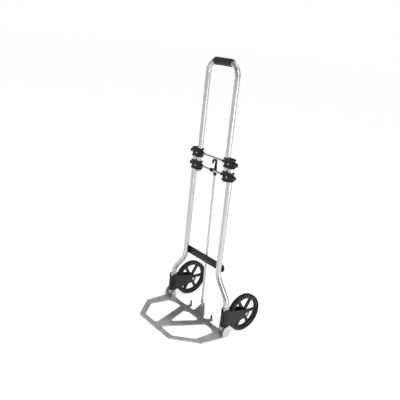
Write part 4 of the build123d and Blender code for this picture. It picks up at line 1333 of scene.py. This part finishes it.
@dataclass
class StretchCord:
    """The elastic cord from the lug up to the hook on the handle's lower rod."""

    radius: float = 5.0 * MM
    split_z: float = 110 * MM
    step: float = 6 * MM
    socket: float = 7.5 * MM
    hook_width: float = 12.0 * MM
    shank_wide: float = 5.0 * MM
    shank_deep: float = 4.25 * MM
    hook_radius: float = 8.0 * MM
    beak_turn: float = 200.0
    beak_taper: float = 0.12
    clip: float = 7.5 * MM
    eye_thick: float = 1.6 * MM
    crimp_wall: float = 1.5 * MM
    crimp_length: float = 15.0 * MM

    def build(self, plate: LoadPlate) -> None:
        """Makes the cord's two stretches, its hook and its lower end.

        Args:
            plate: The toe plate, whose lug the lower end is held on.
        """
        upper_low, upper_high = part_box("elastic_cord")
        tail_low, tail_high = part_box("cord_tail")
        foot = Vector((0, tail_high.y - self.radius, tail_low.z))
        top = Vector((0, upper_low.y + self.radius, upper_high.z))
        line = (top - foot) / (top.z - foot.z)
        split = foot + line * (self.split_z - foot.z)
        sheath = BraidedSheath("braided_sheath", grey(0.5), grey(0.66), 0.0, (0.6, 0.75), 200.0, 900.0, 0.6,
                               Grain.EVEN, 0.0, 0.2, centre=tuple(split), lean=math.atan2(-line.y, 1.0))
        piece = make_piece(self._run(split, top), "stretch_cord", sheath, "frame", ["elastic_cord"])
        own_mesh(piece)
        tail = make_piece(self._run(foot, split), "stretch_cord_tail", sheath, None, ["cord_tail"])
        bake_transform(tail)
        self._hook()
        self._terminal(plate, foot, line)

    def _run(self, foot: Vector, top: Vector) -> Solid:
        """A straight stretch of cord, cut into short lengths so that it can bend."""
        count = max(2, round((top - foot).length / self.step))
        places = [foot + (top - foot) * i / count for i in range(count + 1)]
        return Solid().loft([Station(p, top - foot, self.radius, self.radius) for p in places], X_AXIS, 32)

    def _hook(self) -> None:
        """The moulded hook: its shank and beak, the clip round the rod and the slot above it."""
        low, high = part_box("cord_hook")
        rod = middle("lower_cross_rod")
        y = high.y - self.socket
        solid = Solid().loft(self._shank(y, low.z, high.z, rod.z), X_AXIS, 28)
        half = self.hook_width / 2
        clip = rounded(polygon(6, self.clip + 0.6 * MM, 0), 2 * MM, 4)
        solid.join(Solid().prism(clip, 2 * half, side_view(-half, 0.0, rod.z), soft=0.8 * MM))
        bridge = box_outline(y, 9 * MM, 2 * MM, 4)
        place = side_view(-half + 1 * MM, y / 2, rod.z)
        solid.join(Solid().prism(bridge, 2 * half - 2 * MM, place, soft=0.6 * MM))
        solid.bore(ROD_RADIUS + CLEARANCE, -2 * half, 2 * half, along_x(Vector((0, 0, rod.z))))
        slot = box_outline(2.4 * MM, 9 * MM, 1.1 * MM, 5)
        solid.remove(Solid().prism(slot, 20 * MM, front_view(y + 10 * MM, rod.z + 17 * MM)))
        make_piece(solid, "hook_moulding", MOULDED_BLACK, "handle", ["cord_hook"])

    def _shank(self, y: float, foot: float, top: float, rod: float) -> list[Station]:
        """The hook's collar, its shank and its forward beak, from the foot up and over."""
        wide, deep = self.shank_wide, self.shank_deep
        levels = [(foot, 6.4, 6.4), (foot + 0.8 * MM, 7.2, 7.2), (foot + 4 * MM, 7.4, 7.4),
                  (foot + 5 * MM, 6.3, 6.3), (foot + 8 * MM, 6.0, 6.0), (foot + 9 * MM, 6.9, 6.9),
                  (rod - 6 * MM, 6.2, 6.4), (rod, 6.0, 5.8), (rod + 7 * MM, 6.0, 5.0),
                  (rod + 14 * MM, 5.6, 4.5)]
        stations = [Station(Vector((0, y, z)), Z_AXIS, a * MM, b * MM) for z, a, b in levels]
        bend = Vector((0, y - self.hook_radius, top - self.hook_radius - deep))
        stations.append(Station(Vector((0, y, bend.z - 4 * MM)), Z_AXIS, wide, deep))
        for i in range(13):
            a = math.radians(self.beak_turn * i / 12)
            share = 1 - self.beak_taper * (i / 12) ** 3
            stations.append(Station(bend + Vector((0, math.cos(a), math.sin(a))) * self.hook_radius,
                                    Vector((0, -math.sin(a), math.cos(a))), wide * share, deep * share))
        last = stations[-1]
        for run, share in ((1.2, 0.92), (2.2, 0.7), (2.7, 0.35)):
            stations.append(Station(last.centre + last.along * run * MM, last.along, last.wide * share,
                                    last.deep * share))
        return stations

    def _terminal(self, plate: LoadPlate, foot: Vector, line: Vector) -> None:
        """The crimped ferrule, its neck and the flat eye on the lug's front."""
        outer, length = self.radius + self.crimp_wall, self.crimp_length
        base = foot - line * (length + 0.3 * MM)
        points = [(0, 0), (outer - 2 * MM, 0), (outer, 2 * MM)]
        for z in (4 * MM, 8 * MM):
            points += [(outer, z), (outer - 0.8 * MM, z + 0.7 * MM), (outer - 0.8 * MM, z + 1.6 * MM),
                       (outer, z + 2.3 * MM)]
        points += [(outer, length - 0.8 * MM), (outer - 0.6 * MM, length), (0, length)]
        solid = Solid().revolve(points, Matrix.Translation((0, base.y, base.z)), 36)
        seat = plate.lug_thick / 2 + CLEARANCE
        face = seat + self.eye_thick
        hole = plate.eyelet_bore + plate.eyelet_wall + CLEARANCE
        ring = rounded([(hole, seat), (plate.lug_eye, seat), (plate.lug_eye, face), (hole, face)],
                       [0, 0, 0.5 * MM, 0], 3)
        eye_place = plate.lug_place(0.0) @ Matrix.Translation((0, plate.lug_rise, 0))
        solid.join(Solid().revolve(ring, eye_place, 40))
        rise = plate.lug_rise + plate.eyelet_bore + 3.9 * MM
        near = plate.lug_place(seat) @ Vector((0, rise, 0))
        far = plate.lug_place(face) @ Vector((0, rise, 0))
        neck = [(near.y, near.z), (far.y, far.z), (base.y - 2.5 * MM, base.z + 1 * MM),
                (base.y + 3.5 * MM, base.z + 1 * MM)]
        solid.join(Solid().prism(neck, 7 * MM, side_view(-3.5 * MM), soft=0.3 * MM))
        make_piece(solid, "crimped_terminal", ZINC_STEEL, "toe_plate", ["cord_terminal"])


@dataclass
class Studio:
    """The floor, the lights and the camera."""

    azimuth: float = 50.7
    elevation: float = 16.64
    roll: float = 6.18
    distance: float = 2.101
    target: Vector = field(default_factory=lambda: Vector((-0.0503, 0.0, 0.472)))
    lens: float = 48.83
    floor_size: float = 40.0
    bright_side: float = 52.0
    walls: tuple[Point, ...] = ((0.0, 0.35), (0.6, 0.42), (0.8, 0.62), (0.9, 1.0), (1.0, 1.1))
    lights: tuple[tuple[str, Sequence[float], float, float], ...] = (
        ("key", (2.3, -0.3, 2.4), 1.2, 20.0),
        ("fill", (-2.2, -1.8, 1.4), 2.0, 3.0),
        ("panel", (1.35, 0.1, 0.5), 0.6, 4.6),
        ("top", (0.3, 0.6, 2.8), 1.6, 12.0))
    aim_z: float = 0.45

    def build(self) -> None:
        """Sets the floor, lights, world and camera."""
        self._floor()
        self._camera()
        for name, place, size, power in self.lights:
            self._light(name, Vector(place), size, power)
        self._world()
        bpy.context.scene.view_settings.view_transform = "Standard"

    def _floor(self) -> None:
        """A wide pale floor at the height of the lowest point."""
        bm = bmesh.new()
        bmesh.ops.create_grid(bm, x_segments=2, y_segments=2, size=self.floor_size)
        bmesh.ops.translate(bm, vec=(0, 0, CAD_BOX[0][2] - 0.1 * MM), verts=bm.verts[:])
        mesh = bpy.data.meshes.new("floor")
        bm.to_mesh(mesh)
        bm.free()
        mesh.materials.append(PALE_FLOOR.build())
        add_object("floor", mesh)

    def _camera(self) -> None:
        """The camera, looking at its target from its azimuth and elevation, then rolled."""
        around, up = math.radians(self.azimuth), math.radians(self.elevation)
        back = Vector((math.sin(around) * math.cos(up), -math.cos(around) * math.cos(up), math.sin(up)))
        camera = add_object("camera", bpy.data.cameras.new("camera"))
        camera.data.sensor_width = 36.0
        camera.data.lens = self.lens
        turn = back.to_track_quat("Z", "Y").to_matrix().to_4x4()
        roll = Matrix.Rotation(math.radians(self.roll), 4, "Z")
        camera.matrix_world = Matrix.Translation(self.target + back * self.distance) @ turn @ roll
        bpy.context.scene.camera = camera

    def _light(self, name: str, place: Vector, size: float, power: float) -> None:
        """A soft square light that faces the middle of the object."""
        lamp = bpy.data.lights.new(name, "AREA")
        lamp.size, lamp.energy = size, power
        aim = (place - Vector((0, 0, self.aim_z))).to_track_quat("Z", "Y").to_matrix().to_4x4()
        add_object(name, lamp).matrix_world = Matrix.Translation(place) @ aim

    def _world(self) -> None:
        """A pale room: white behind the object, with greyer walls in what it reflects."""
        world = bpy.data.worlds.new("room")
        bpy.context.scene.world = world
        world.use_nodes = True
        graph = Graph(world.node_tree)
        bright = math.radians(self.azimuth - 90 + self.bright_side)
        turned = graph.add("Mapping", {"Rotation": (0.0, 0.0, bright),
                                       "Vector": graph.add("TexCoord").outputs["Generated"]},
                           vector_type="TEXTURE")
        across = graph.axes(turned.outputs["Vector"])[0]
        walls = graph.ramp(graph.fade(across, -1.0, 1.0),
                           *((spot, grey(shade)) for spot, shade in self.walls))
        seen = graph.add("LightPath").outputs["Is Camera Ray"]
        graph.fill(world.node_tree.nodes["Background"],
                   {"Color": graph.mix(seen, walls, WHITE), "Strength": 1.0})


def main() -> None:
    """Builds the truck's looks sub-assembly by sub-assembly, then the studio."""
    logging.basicConfig(level=logging.INFO, format="%(name)s: %(message)s")
    Studio().build()
    TubeFrame().build()
    HandGrip().build()
    for word, side in SIDES.items():
        TubeClamp(f"{word}_upper_clamp", "frame", side).build()
        TubeClamp(f"{word}_lower_clamp", "handle", side).build()
        ClampKnob(f"{word}_lock_plunger", f"{word}_lock", side, 3.0 * MM).build()
        ClampKnob(f"{word}_clamp_cap", "handle", side, 3.0 * MM, flutes=12, flute_depth=0.0).build()
        WheelFork(word, side).build()
        RoadWheel(word).build()
        TubeFoot(word).build()
    RearCrossbar().build()
    plate = LoadPlate()
    plate.build()
    StretchCord().build(plate)


if __name__ == "__main__":
    main()
